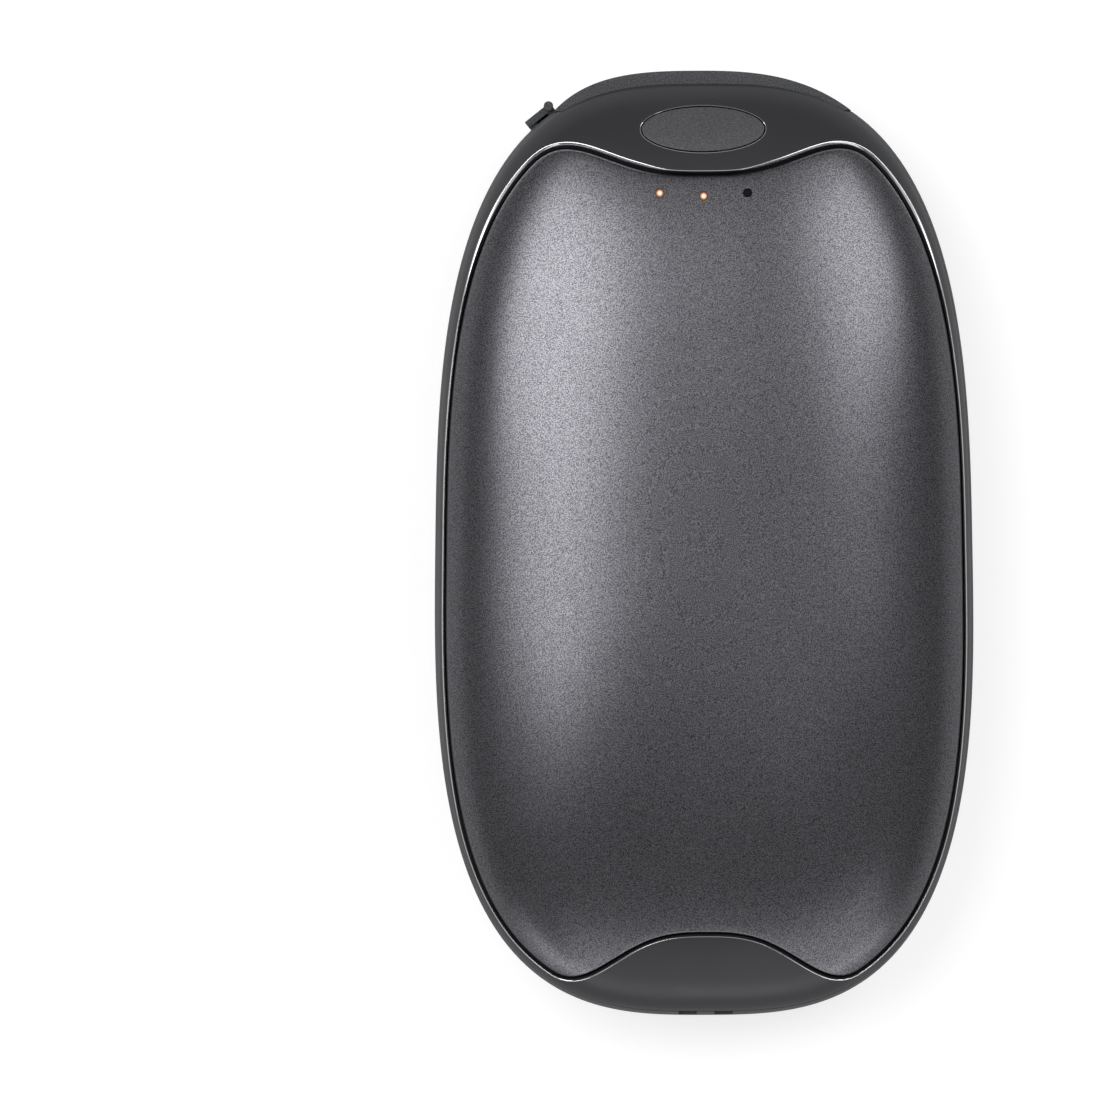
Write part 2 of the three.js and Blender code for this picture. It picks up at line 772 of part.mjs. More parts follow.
function frontBezel() {
  let body = join(bezelHoop(), bezelLip());
  const roof = domeSolid(ledgeInset);
  const reach = domeShell(ledgeInset, ledgeInset + ledgeDepth);
  for (const { centre, outward } of bosses) {
    const boss = post(centre.x, centre.y, bossRadius, splitHeight, bodyThickness);
    const wing = new THREE.BoxGeometry(wingReach, wingWidth, bodyThickness)
      .translate(wingReach / 2, 0, splitHeight + bodyThickness / 2)
      .rotateZ(Math.atan2(outward.y, outward.x))
      .translate(centre.x, centre.y, 0);
    body = join(body, boss.intersect(roof), toSolid(wing).intersect(reach));
  }
  const hangerBottom = upperBoardTop + clearance;
  const hangerX = upperBoardHalfWidth - boardPostSideInset;
  const hangerY = upperBoardEnd - boardPostEndInset;
  for (const side of [-1, 1]) {
    const hanger = post(side * hangerX, hangerY, boardPostRadius, hangerBottom, bodyThickness);
    body = join(body, hanger.intersect(roof));
  }
  body = cut(body, buttonPrism(clearance, 0, bodyThickness * 2));
  const light = shroudReach + clearance;
  body = cut(body, block(
    -light, indicatorY - indicatorDip - shroudHalf - clearance, splitHeight,
    light, indicatorY + shroudHalf + clearance, bodyThickness,
  ));
  for (const { centre, top } of bosses) {
    body = cut(body, post(centre.x, centre.y, screwRadius + clearance, 0, top - overrun));
  }
  return body;
}

// Heat plate, heater film and the foam that presses them together

function heatPlate() {
  const roll = 1 - plateRollWidth / plateHalfWidth;
  const onTop = (x, y) => domeHeight(x, y, plateSink);
  const sheet = crownedSheet({
    top: plateOutline(0),
    bottom: plateOutline(-plateEdgeUndercut),
    topShares: [...plateRingShares, roll],
    bottomShares: underRingShares,
    topOf: onTop,
    bottomOf: (x, y) => Math.max(domeHeight(x, y, plateInset), plateSeat),
    edgeTopOf: (x, y) => onTop(x, y) - plateEdgeDrop,
  });
  return cut(sheet, ...indicatorPlaces().map((p) => (
    post(p.x, p.y, indicatorHoleRadius, girthHeight, bodyThickness * 2)
  )));
}

function pressedLayer(wide, long, topOf, bottomOf) {
  const edge = outline(wide, long, filmPower, batteryY, innerSteps);
  const shares = underRingShares.slice(0, -2);
  return crownedSheet({
    top: edge,
    bottom: edge,
    topShares: shares,
    bottomShares: shares,
    topOf,
    bottomOf,
  });
}

function heaterFilm() {
  return pressedLayer(
    filmHalfWidth,
    filmHalfLength,
    (x, y) => domeHeight(x, y, filmInset),
    (x, y) => domeHeight(x, y, filmInset + filmThickness),
  );
}

function foamPad() {
  return pressedLayer(
    foamHalfWidth,
    foamHalfLength,
    (x, y) => domeHeight(x, y, foamInset),
    () => foamBottom,
  );
}

// Button

function buttonPrism(growth, bottom, top) {
  const edge = ellipseOutline(buttonLength / 2 + growth, buttonWidth / 2 + growth, 0, buttonY);
  return prism(edge, bottom, top);
}

const switchY = buttonY - buttonWidth / 2 + stemRadius + stemMargin;
const switchTop = upperBoardTop + solderGap + switchHeight;
const plungerTop = switchTop + buttonTravel + clearance;

function powerButton() {
  const cap = domeShell(0, buttonThickness).intersect(buttonPrism(0, splitHeight, bodyThickness));
  const flangeInset = bezelWall + clearance;
  const core = domeShell(0, flangeInset + flangeThickness)
    .intersect(buttonPrism(0, splitHeight, bodyThickness));
  const flange = domeShell(flangeInset, flangeInset + flangeThickness)
    .intersect(buttonPrism(flangeReach, splitHeight, bodyThickness));
  const inner = join(core, flange).intersect(
    block(-halfWidth, 0, plungerTop + solderGap, halfWidth, flangeLimitY, bodyThickness),
  );
  const stem = post(0, switchY, stemRadius, plungerTop + solderGap, bodyThickness)
    .intersect(domeSolid(buttonThickness));
  const plungerRoom = post(0, switchY, plungerRadius + clearance, 0, plungerTop + solderGap);
  return cut(join(cap, inner, stem), plungerRoom);
}

function switchBody() {
  const low = upperBoardTop + solderGap;
  const body = block(
    -switchWidth / 2, switchY - switchWidth / 2, low,
    switchWidth / 2, switchY + switchWidth / 2, switchTop,
  );
  return cut(body, post(0, switchY, plungerRadius + clearance, low - overrun, switchTop + overrun));
}

// Indicators

function indicatorPlaces() {
  return [-1, 0, 1].map((step) => new THREE.Vector2(
    step * indicatorPitch,
    indicatorY - (1 - Math.abs(step)) * indicatorDip,
  ));
}

function indicatorPipe(place) {
  const bottom = upperBoardTop + solderGap + ledHeight + clearance;
  const shoulder = shroudTop;
  const neck = shoulder + pipeBaseRadius - pipeTipRadius;
  const top = domeHeight(place.x, place.y, plateSink) - solderGap;
  return new THREE.LatheGeometry([
    new THREE.Vector2(0, bottom),
    new THREE.Vector2(pipeBaseRadius, bottom),
    new THREE.Vector2(pipeBaseRadius, shoulder),
    new THREE.Vector2(pipeTipRadius, neck),
    new THREE.Vector2(pipeTipRadius, top),
    new THREE.Vector2(0, top),
  ], screwSides).rotateX(Math.PI / 2);
}

function lightShroud() {
  const low = upperBoardTop + solderGap;
  const body = block(
    -shroudReach, indicatorY - shroudHalf, low,
    shroudReach, indicatorY + shroudHalf, shroudTop,
  );
  return cut(body, ...indicatorPlaces().map((p) => (
    post(p.x, p.y, pipeBaseRadius + clearance, low - overrun, bodyThickness)
  )));
}

// Rubber port cover, hinged at the end that lies by its anchor strap

function bodyEdgeAngle(x) {
  let angle = Math.PI / 2;
  for (let i = 0; i < outlineSteps; i += 1) {
    const p = outlinePoint(angle, halfWidth, halfLength);
    angle += (p.x - x) / halfWidth;
  }
  return angle;
}

function bodyEdgeY(x) {
  return outlinePoint(bodyEdgeAngle(x), halfWidth, halfLength).y;
}

function coverOuterY(x) {
  const [endX, end, power] = x < 0
    ? [coverHingeX, coverHingeStandoff, hingeCurvePower]
    : [coverTipX, coverTipStandoff, tipCurvePower];
  return bodyEdgeY(x) + end + (coverStandoff - end) * (1 - (x / endX) ** power);
}

function coverEdge(inset, depth, floorY) {
  const [start, end] = [coverTipX - inset, coverHingeX + inset];
  const points = [];
  for (let i = 0; i <= coverSteps; i += 1) {
    const x = start + (end - start) * i / coverSteps;
    points.push(new THREE.Vector2(x, Math.max(floorY, coverOuterY(x) - depth)));
  }
  return points;
}

const coverBottom = recessBottom + clearance;
const coverTop = splitHeight - clearance;

function portCover() {
  const points = [
    new THREE.Vector2(coverTipX, coverBack),
    ...coverEdge(0, 0, coverBack),
    new THREE.Vector2(coverHingeX, coverBack),
  ];
  const height = coverTop - coverBottom;
  const flap = new THREE.ExtrudeGeometry(new THREE.Shape(points), {
    depth: height - coverEdgeRound * 2,
    bevelThickness: coverEdgeRound,
    bevelSize: coverEdgeRound / 2,
    bevelOffset: -coverEdgeRound / 2,
    bevelSegments: 2,
  }).translate(0, 0, coverBottom + coverEdgeRound);
  const side = coverSkin * 2;
  const hollow = prism([
    new THREE.Vector2(coverTipX - side, coverBack - overrun),
    ...coverEdge(side, coverSkin, coverBack),
    new THREE.Vector2(coverHingeX + side, coverBack - overrun),
  ], coverBottom + coverSkin, coverTop - coverSkin);
  const plugs = coverPlugs();
  return join(cut(toSolid(flap), hollow), ...plugs);
}

// Each plug fills the free half of its socket, with more room on the side that swings out last
function coverPlugs() {
  const low = boardTop + solderGap + sheetMetal + clearance;
  const plug = (centreX, width, high) => {
    const inside = width / 2 - sheetMetal - clearance;
    return block(
      centreX - inside, portFloorY - plugDepth, low,
      centreX + inside - plugFarClearance + clearance, bodyEdgeY(centreX), high,
    );
  };
  const tongueLow = boardTop + solderGap + usbAHeight / 2;
  const usbCHigh = boardTop + solderGap + usbCHeight - sheetMetal - clearance;
  return [
    plug(usbAX, usbAWidth, tongueLow - clearance),
    plug(usbCX, usbCWidth - usbCHeight, usbCHigh),
  ];
}

// Anchor strap: a bar that stands off the shoulder on two feet that are pressed into the wall

const strapFrame = (() => {
  const edge = (angle) => outlinePoint(angle, halfWidth, halfLength);
  const nudge = Math.PI / outlineSteps;
  const reach = strapLength / 2 + clearance;
  let angle = bodyEdgeAngle(coverHingeX);
  const coverEnd = edge(angle);
  for (let i = 0; i < outlineSteps; i += 1) {
    angle += (reach - edge(angle).distanceTo(coverEnd)) / halfLength;
  }
  const chord = edge(angle + nudge).sub(edge(angle - nudge));
  return { here: edge(angle), heading: chord.angle() };
})();

function onShoulder(x0, y0, x1, y1, growthZ) {
  const middle = girthHeight - strapHeight / 2;
  const geometry = new THREE.BoxGeometry(x1 - x0, y1 - y0, strapHeight + growthZ * 2)
    .translate((x0 + x1) / 2, (y0 + y1) / 2, middle)
    .rotateZ(strapFrame.heading)
    .translate(strapFrame.here.x, strapFrame.here.y, 0);
  return toSolid(geometry);
}

function coverAnchor() {
  const outer = -strapSlit - strapThickness;
  const bar = onShoulder(-strapLength / 2, outer, strapLength / 2, -strapSlit, 0);
  const feet = strapFeet().map(([start, end]) => (
    onShoulder(start, -strapSlit - strapThickness / 2, end, strapPlugDepth, -clearance)
  ));
  return join(bar, ...feet);
}

function strapFeet() {
  const half = strapLength / 2;
  return [[-half, strapFootLength - half], [half - strapFootLength, half]];
}

function strapSockets() {
  return strapFeet().map(([start, end]) => (
    onShoulder(start - clearance, -overrun, end + clearance, strapPlugDepth + clearance, 0)
  ));
}

// Sockets

function tube(outer, inner, length) {
  const shape = new THREE.Shape(outer);
  shape.holes.push(new THREE.Path(inner));
  return new THREE.ExtrudeGeometry(shape, { depth: length, bevelEnabled: false }).rotateX(Math.PI / 2);
}

function slotOutline(width, height) {
  const radius = height / 2;
  const straight = width / 2 - radius;
  const path = new THREE.Path();
  path.absarc(straight, 0, radius, -Math.PI / 2, Math.PI / 2, false);
  path.absarc(-straight, 0, radius, Math.PI / 2, Math.PI * 3 / 2, false);
  return path.getPoints(slotSteps / 2).slice(0, -1);
}

function usbAShell() {
  const outer = rectangle(-usbAWidth / 2, -usbAHeight / 2, usbAWidth / 2, usbAHeight / 2);
  const [wide, high] = [usbAWidth / 2 - sheetMetal, usbAHeight / 2 - sheetMetal];
  return tube(outer, rectangle(-wide, -high, wide, high), usbALength);
}

function usbCShell() {
  const inner = slotOutline(usbCWidth - sheetMetal * 2, usbCHeight - sheetMetal * 2);
  return tube(slotOutline(usbCWidth, usbCHeight), inner, usbCLength);
}

// Boards

function mainBoard() {
  const [wide, long] = [halfWidth - sideWall - clearance, halfLength - endWall - clearance];
  const area = rectangle(-boardHalfWidth, boardStart, boardHalfWidth, portWallY - clearance);
  return prism(outline(wide, long), boardBottom, boardTop)
    .intersect(prism(area, boardBottom - overrun, boardTop + overrun));
}

function upperBoard() {
  const start = upperBoardEnd - upperBoardLength;
  const area = rectangle(-upperBoardHalfWidth, start, upperBoardHalfWidth, upperBoardEnd);
  const room = outline(halfWidth - sideWall - clearance * 2, halfLength - endWall - clearance * 2);
  return prism(area, upperBoardBottom, upperBoardTop)
    .intersect(prism(room, upperBoardBottom - overrun, upperBoardTop + overrun));
}

// Battery and bracket

function roundedBox(width, length, height, round) {
  const [x, y] = [width / 2 - round, length / 2 - round];
  const shape = new THREE.Shape();
  shape.absarc(x, y, round, 0, Math.PI / 2, false);
  shape.absarc(-x, y, round, Math.PI / 2, Math.PI, false);
  shape.absarc(-x, -y, round, Math.PI, Math.PI * 3 / 2, false);
  shape.absarc(x, -y, round, Math.PI * 3 / 2, fullTurn, false);
  return new THREE.ExtrudeGeometry(shape, {
    depth: height - round,
    bevelThickness: round / 2,
    bevelSize: round / 2,
    bevelOffset: -round / 2,
    bevelSegments: 2,
    curveSegments: 3,
  }).translate(0, 0, round / 2);
}

function batteryCell() {
  const body = toSolid(roundedBox(batteryWidth, batteryLength, batteryHeight, batteryRound));
  const middle = batteryHeight / 2;
  const terrace = block(
    -terraceWidth / 2, batteryLength / 2 - batteryRound, middle - terraceHeight / 2,
    terraceWidth / 2, batteryLength / 2 + terraceLength, middle + terraceHeight / 2,
  );
  return join(body, terrace);
}

function batteryBracket() {
  const [legStart, legEnd] = [bracketHalfWidth - bracketThickness, bracketHalfWidth];
  const spacing = batteryLength / 2 - bracketEndInset;
  const reach = spacing + bracketLegWidth / 2;
  const window = new THREE.Vector2(batteryWidth / 2 - bracketRail, (spacing - bracketRib) / 2);
  let body = block(-legEnd, -reach, bracketBottom, legEnd, reach, bracketTop);
  for (const step of [-1, 1]) {
    const y = step * spacing / 2;
    body = cut(body, block(
      -window.x, y - window.y, bracketBottom - overrun,
      window.x, y + window.y, bracketTop + overrun,
    ));
  }
  for (const side of [-1, 1]) {
    const [x0, x1] = side > 0 ? [legStart, legEnd] : [-legEnd, -legStart];
    for (const step of [-1, 0, 1]) {
      const y = step * spacing;
      body = join(body, block(
        x0, y - bracketLegWidth / 2, batteryBottom,
        x1, y + bracketLegWidth / 2, bracketTop,
      ));
    }
  }
  return body;
}

function lead(points) {
  const section = new THREE.Shape();
  section.absarc(0, 0, leadRadius, 0, fullTurn, false);
  return new THREE.ExtrudeGeometry(section, {
    steps: leadSteps,
    curveSegments: leadSides / 2,
    extrudePath: new THREE.CatmullRomCurve3(points),
  });
}

// Battery lead: from the terrace's tab, over the gap and down to the board
function batteryLead(side) {
  const start = batteryY + batteryLength / 2 + terraceLength + clearance;
  const tabHeight = batteryBottom + batteryHeight / 2;
  const x = side * batteryTabX;
  return lead([
    new THREE.Vector3(x, start, tabHeight),
    new THREE.Vector3(x, start + leadRadius * 2, tabHeight),
    new THREE.Vector3(x, boardStart + leadRadius * 3, boardTop + leadRadius * 4),
    new THREE.Vector3(x, boardStart + leadRadius * 3, boardTop + clearance),
  ]);
}

// Heater lead: from the film's edge, down behind the battery's end to the board
function heaterLead(side) {
  const x = side * heaterLeadX;
  const edge = batteryY + filmHalfLength + clearance;
  const film = domeHeight(x, edge, filmInset + filmThickness) - leadRadius;
  const behind = batteryY + batteryLength / 2 + terraceLength + leadRadius + clearance * 2;
  return lead([
    new THREE.Vector3(x, edge, film),
    new THREE.Vector3(x, edge + leadRadius * 2, film - leadRadius),
    new THREE.Vector3(x, behind, bracketTop),
    new THREE.Vector3(x, behind, batteryBottom + batteryHeight / 2),
    new THREE.Vector3(x, boardStart + leadRadius * 3, boardTop + leadRadius * 3),
    new THREE.Vector3(x, boardStart + leadRadius * 3, boardTop + clearance),
  ]);
}

function screw(top) {
  const headBottom = bossBottom - clearance - screwHeadHeight;
  const headTop = bossBottom - clearance;
  const socket = screwHeadHeight / 2;
  return new THREE.LatheGeometry([
    new THREE.Vector2(0, headBottom + socket),
    new THREE.Vector2(screwRadius / 2, headBottom + socket),
    new THREE.Vector2(screwRadius / 2, headBottom),
    new THREE.Vector2(screwHeadRadius, headBottom),
    new THREE.Vector2(screwHeadRadius, headTop),
    new THREE.Vector2(screwRadius, headTop),
    new THREE.Vector2(screwRadius, top - screwRadius / 2),
    new THREE.Vector2(0, top),
  ], screwSides).rotateX(Math.PI / 2);
}

// Materials

function finish(color, roughness, metalness = 0) {
  return new THREE.MeshStandardMaterial({ color, roughness, metalness });
}

const finishes = {
  plate: finish(0x6b6b70, 0.42, 0.9),
  bezel: finish(0x2b2b2f, 0.3),
  button: finish(0x48464a, 0.6),
  housing: finish(0x4c4d52, 0.7),
  cover: finish(0x505256, 0.85),
  rubber: finish(0x4e5054, 0.95),
  pipe: finish(0xf2d9b0, 0.2),
  steel: finish(0xb9babd, 0.3, 1),
  board: finish(0x1e5a34, 0.5),
  tongue: finish(0x18181a, 0.5),
  chip: finish(0x1b1b1d, 0.6),
  ferrite: finish(0x3a3a3c, 0.8),
  frame: finish(0x202124, 0.7),
  battery: finish(0xa9acb1, 0.4, 0.6),
  film: finish(0xb06a24, 0.4),
  foam: finish(0x6d6e70, 1),
  magnet: finish(0xc4c6ca, 0.25, 1),
  redLead: finish(0xb3201c, 0.5),
  blackLead: finish(0x151516, 0.5),
};

// Assembly

const assembly = new THREE.Group();
assembly.position.y = -coverStandoff / 2;

function place(name, shape, material, parent = assembly) {
  const geometry = shape.isBufferGeometry ? shape : toGeometry(shape);
  const mesh = new THREE.Mesh(geometry, material);
  mesh.name = name;
  parent.add(mesh);
  return mesh;
}

function boxPiece(name, width, length, height, x, y, bottom, material) {
  const mesh = place(name, new THREE.BoxGeometry(width, length, height), material);
  mesh.position.set(x, y, bottom + height / 2);
  return mesh;
}

place('mid_housing', midHousing(), finishes.housing);
place('rear_cover', rearCover(), finishes.cover);
place('front_bezel', frontBezel(), finishes.bezel);
place('heat_plate', heatPlate(), finishes.plate);
place('heater_film', heaterFilm(), finishes.film);
place('foam_pad', foamPad(), finishes.foam);

const battery = place('battery_cell', batteryCell(), finishes.battery);
battery.position.set(0, batteryY, batteryBottom);
const bracket = place('battery_bracket', batteryBracket(), finishes.frame);
bracket.position.y = batteryY;
place('battery_lead_red', batteryLead(1), finishes.redLead);
place('battery_lead_black', batteryLead(-1), finishes.blackLead);
place('heater_lead_left', heaterLead(-1), finishes.redLead);
place('heater_lead_right', heaterLead(1), finishes.redLead);

place('main_board', mainBoard(), finishes.board);
const onBoard = boardTop + solderGap;
const chipX = chipSize / 2 + chipGap + leadRadius - batteryTabX;
boxPiece('controller_chip', chipSize, chipSize, chipHeight, chipX, chipY, onBoard, finishes.chip);
boxPiece(
  'boost_inductor', inductorSize, inductorSize, inductorHeight,
  inductorX, inductorY, onBoard, finishes.ferrite,
);
boxPiece(
  'board_header', headerLength, headerWidth, upperBoardBottom - boardTop - solderGap * 2,
  upperBoardHalfWidth - headerLength / 2 - solderGap, headerY, onBoard, finishes.tongue,
);

const usbA = new THREE.Group();
usbA.position.set(usbAX, portFloorY, onBoard + usbAHeight / 2);
assembly.add(usbA);
place('usb_a_shell', usbAShell(), finishes.steel, usbA);
const usbATongueWidth = usbAWidth - sheetMetal * 2 - clearance * 2;
const usbATongueHeight = usbAHeight / 2 - sheetMetal - clearance;
const usbATongue = place('usb_a_tongue', new THREE.BoxGeometry(
  usbATongueWidth, usbALength - tongueSetback, usbATongueHeight,
), finishes.tongue, usbA);
usbATongue.position.set(0, -(usbALength + tongueSetback) / 2, usbATongueHeight / 2);

const usbC = new THREE.Group();
usbC.position.set(usbCX, portFloorY, onBoard + usbCHeight / 2);
assembly.add(usbC);
place('usb_c_shell', usbCShell(), finishes.steel, usbC);
const usbCTongueHeight = usbCHeight - (sheetMetal + clearance) * 2 - sheetMetal * 3;
const usbCTongue = place('usb_c_tongue', new THREE.BoxGeometry(
  usbCWidth - usbCHeight, usbCLength - tongueSetback, usbCTongueHeight,
), finishes.tongue, usbC);
usbCTongue.position.set(0, -(usbCLength + tongueSetback) / 2, 0);

place('upper_board', upperBoard(), finishes.board);
place('switch_body', switchBody(), finishes.tongue);
place('light_shroud', lightShroud(), finishes.tongue);
const sideNames = ['left', 'middle', 'right'];
indicatorPlaces().forEach((spot, i) => {
  boxPiece(
    `indicator_led_${sideNames[i]}`, ledLength, ledWidth, ledHeight,
    spot.x, spot.y, upperBoardTop + solderGap, finishes.pipe,
  );
  const pipe = place(`indicator_pipe_${sideNames[i]}`, toSolid(indicatorPipe(spot)), finishes.pipe);
  pipe.position.set(spot.x, spot.y, 0);
});

magnetPlaces().forEach((spot, i) => {
  boxPiece(
    `magnet_${i + 1}`, magnetWidth, magnetLength, magnetHeight,
    spot.x, spot.y, coverInside + solderGap, finishes.magnet,
  );
});

bosses.forEach(({ centre, top }, i) => {
  const mesh = place(`bezel_screw_${i + 1}`, toSolid(screw(top - screwBite)), finishes.steel);
  mesh.position.set(centre.x, centre.y, 0);
});

place('cover_anchor', coverAnchor(), finishes.rubber);

const button = new THREE.Group();
assembly.add(button);
place('power_button', powerButton(), finishes.button, button);
const plungerLength = plungerTop - upperBoardTop - solderGap - buttonTravel - clearance / 2;
const plungerBottom = plungerTop - plungerLength;
place('switch_plunger', post(0, switchY, plungerRadius, plungerBottom, plungerTop), finishes.button, button);

place('port_cover', portCover(), finishes.rubber);

export default assembly;
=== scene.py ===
"""Looks of the rechargeable hand warmer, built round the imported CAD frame.

Sizes here are in millimetres, in the body's own frame (its centre in plan, z up from the rear
face). to_mesh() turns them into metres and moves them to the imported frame.
"""
import math

import bmesh
import bpy
import numpy as np
from mathutils import Matrix, Vector


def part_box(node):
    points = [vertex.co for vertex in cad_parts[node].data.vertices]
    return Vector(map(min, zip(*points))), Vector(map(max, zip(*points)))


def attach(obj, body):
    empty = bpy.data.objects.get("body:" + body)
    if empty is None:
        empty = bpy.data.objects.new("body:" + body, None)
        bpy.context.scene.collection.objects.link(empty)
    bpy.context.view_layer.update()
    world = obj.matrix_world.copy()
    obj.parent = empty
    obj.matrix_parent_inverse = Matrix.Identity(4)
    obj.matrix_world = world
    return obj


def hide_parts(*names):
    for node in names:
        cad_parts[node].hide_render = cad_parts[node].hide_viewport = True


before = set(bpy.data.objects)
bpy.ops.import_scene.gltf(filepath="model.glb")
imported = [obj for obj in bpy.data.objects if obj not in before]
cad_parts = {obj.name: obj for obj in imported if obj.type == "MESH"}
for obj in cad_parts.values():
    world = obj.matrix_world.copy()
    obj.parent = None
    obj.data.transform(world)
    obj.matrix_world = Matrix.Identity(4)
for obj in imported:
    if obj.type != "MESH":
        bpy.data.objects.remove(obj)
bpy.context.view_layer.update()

MM = 0.001
FRAME_SHIFT = -0.5
# How far cutters run past what they cut
OVERRUN = 1.0
# Powers that crowd the rings of a skin towards its edge, and those of the bezel towards its foot
CROWDING = 0.8
FOOT_CROWDING = 1.4
# Angles in degrees above which an edge is shaded sharp, on most pieces and on a rounded one
SHARP_ANGLE = 35.0
ROUNDED_SHARP_ANGLE = 50.0

# Body
HALF_WIDTH = 30.8
HALF_LENGTH = 53.6
OUTLINE_POWER = 2.95
TAPER = 0.025
THICKNESS = 23.0
GIRTH = 8.0
SPLIT = 10.5
CROWN_POWER = 2.2
BELLY_POWER = 2.6
BELLY_SIDE = 2.8
BELLY_END = 5.0
RIM = 0.5
BELLY_LIP = 0.02
BELLY_REACH_SHARE = 0.94
SIDE_WALL = 2.4
END_WALL = 3.9
END_WALL_HALF = 24.0
# Height of the side wall's first ring above the girth
WALL_START = 0.3
# Depths below the split line of the housing's wall, of its outer edge and of that edge's bevel
SEAM = 0.05
SEAM_EDGE = 0.12
SEAM_BEVEL = 0.03
SEAM_BEVEL_SHARE = 0.08
GAP = 0.3
AROUND = 288

# Plate
PLATE_HALF_WIDTH = 29.55
PLATE_HALF_LENGTH = 50.85
PLATE_SHIFT = -1.1
PLATE_POWER = 2.97
PLATE_SINK = 0.15
PLATE_THICKNESS = 1.0
PLATE_ROLL = 0.42
PLATE_GAP = 0.14
# Depth and half span of the wave at each end
TOP_WAVE = (7.4, 19.5)
END_WAVE = (8.1, 17.4)
WAVE_POWER = 1.45
# The rolled edge gets tighter over this stretch of the lower end, by this share
ROLL_EASE = (30.0, 42.0)
ROLL_EASE_SHARE = 0.6
PLATE_UNDER_INSET = 0.8
PLATE_UNDER_RISE = 0.7
PLATE_UNDER_SHARES = (0.05, 0.3, 0.55, 0.75, 0.9, 1.0)

# Bezel: each of the first four pairs goes from the long sides to the ends or the arches
BEVEL_WIDTH = (0.05, 0.3)
BEVEL_SLOPE = (0.8, 1.3)
STEEP_WIDTH = (0.16, 0.32)
EDGE_DROP = (0.45, 1.05)
END_REACH = (18.0, 38.0)
ARCH_REACH = (28.0, 40.0)
ARCH_START = (3.5, 8.0)
CREST = 0.07
SHOULDER = 0.04
# Inset and height over the split line of the bezel's rounded foot
BEZEL_FOOT = ((0.22, 0.02), (0.06, 0.1))
BEZEL_FOOT_SHARE = 0.97
SEAT_DEPTH = 1.45
SEAT_INSET = 0.8
SEAT_RISE = 0.4
LEDGE_INSET = 2.2
LEDGE_DEPTHS = (1.75, 2.6)
# Share of the way from the ledge to the wall, and depth below the dome
BEZEL_VAULT = ((0.25, 2.6), (0.37, 1.8), (0.87, 1.8))
BEZEL_VAULT_RISE = 0.2
BEZEL_REST = 0.02

# Button and lights
BUTTON_Y = 47.72
BUTTON_SEMI = (7.0, 2.58)
BUTTON_GAP = 0.12
# Growth and depth below the dome of the well's wall and its rounded edge
WELL_STEPS = ((0, 6.0), (0, 0.15), (0.02, 0.06), (0.06, 0.02), (0.12, 0.0), (0.14, -0.02))
WELL_DEPTH = 2.0
CAP_THICKNESS = 1.3
CAP_ROLL = 0.14
CAP_SINK = 0.04
CAP_CROWN = 0.04
# Places of the three light guides
LIGHTS = ((-5.0, 40.35), (0.0, 40.0), (5.0, 40.35))
LIGHT_HOLE = 0.52
LIGHT_WINDOW_HALF_WIDTH = 7.5
LIGHT_WINDOW_Y = (37.5, 42.5)
LIGHT_WINDOW_TOP = 17.2

# Ports and wrist-cord slots
PORT_FLOOR = 49.9
PORT_WALL = 48.3
# The port wall laps past its face, and its ends are cut off this far inside the outline
PORT_LAP = 0.4
PORT_WALL_INSET = 1.0
RECESS_BOTTOM = 3.0
# Centre, width and height of each socket
USB_A = (-6.75, 13.1, 5.7)
USB_C = (8.2, 8.94, 3.16)
BOARD_TOP = 3.5
SLOT_X = 2.05
SLOT_HALF_WIDTH = 1.04
SLOT_INNER_Y = -51.0
SLOT_BOTTOM = 9.3

# Gold contacts: pitch, count and width, their two ends, what is let into the tongue and what shows
USB_A_CONTACTS = (2.5, 4, 1.2, 41.0, 47.6, 0.1, 0.06)
USB_C_CONTACTS = (0.5, 10, 0.26, 44.0, 48.0, 0.1, 0.04)

# Port cover
FLAP_HINGE_X = -16.49
FLAP_STANDOFF = 1.0
FLAP_SEAT = 0.08
# Place of each end, its standoff there and the power of its curve
FLAP_ENDS = ((-16.9, 0.1, 7.0), (17.0, 0.02, 1.8))
FLAP_ROLL = 0.45
FLAP_LEAST = 0.02
HOLLOW_HALF_WIDTH = 13.5
HOLLOW_DEPTH = 1.9
HOLLOW_WALL = 1.5
# Name, left end, right end and top of each plug
PLUGS = (("plug_a", -12.7, -1.5, 6.15), ("plug_c", 5.9, 9.8, 6.16))
PLUG_BOTTOM = 4.2
PLUG_TIP = 1.1
PLUG_ROOT = 2.5

# Anchor of the port cover
STRAP_LENGTH = 3.6
STRAP_THICKNESS = 0.8
STRAP_SLIT = 0.3
STRAP_FOOT = 1.0
STRAP_FOOT_INSET = 0.3
STRAP_PLUG = 0.9
STRAP_HEIGHT = 3.0
STRAP_TOP = GIRTH
STRAP_BOTTOM = STRAP_TOP - STRAP_HEIGHT
STRAP_ROUNDING = 0.14
SOCKET_PLAY = 0.15
SOCKET_SPARE = 0.3
WEB_INSET = 0.2
WEB_BOTTOM = 0.1
WEB_TOP = 0.7
WEB_BITE = 0.1
KNOB_RADIUS = 0.55
KNOB_INSET = 0.35
KNOB_SINK = 0.25
KNOB_FOOT = 0.4
KNOB_HEAD = 0.35

# Rear cover
REAR_FACE = 0.35
REAR_INSIDE = 1.9
REAR_SIDE_INSET = 1.75
REAR_END_INSET = 2.95
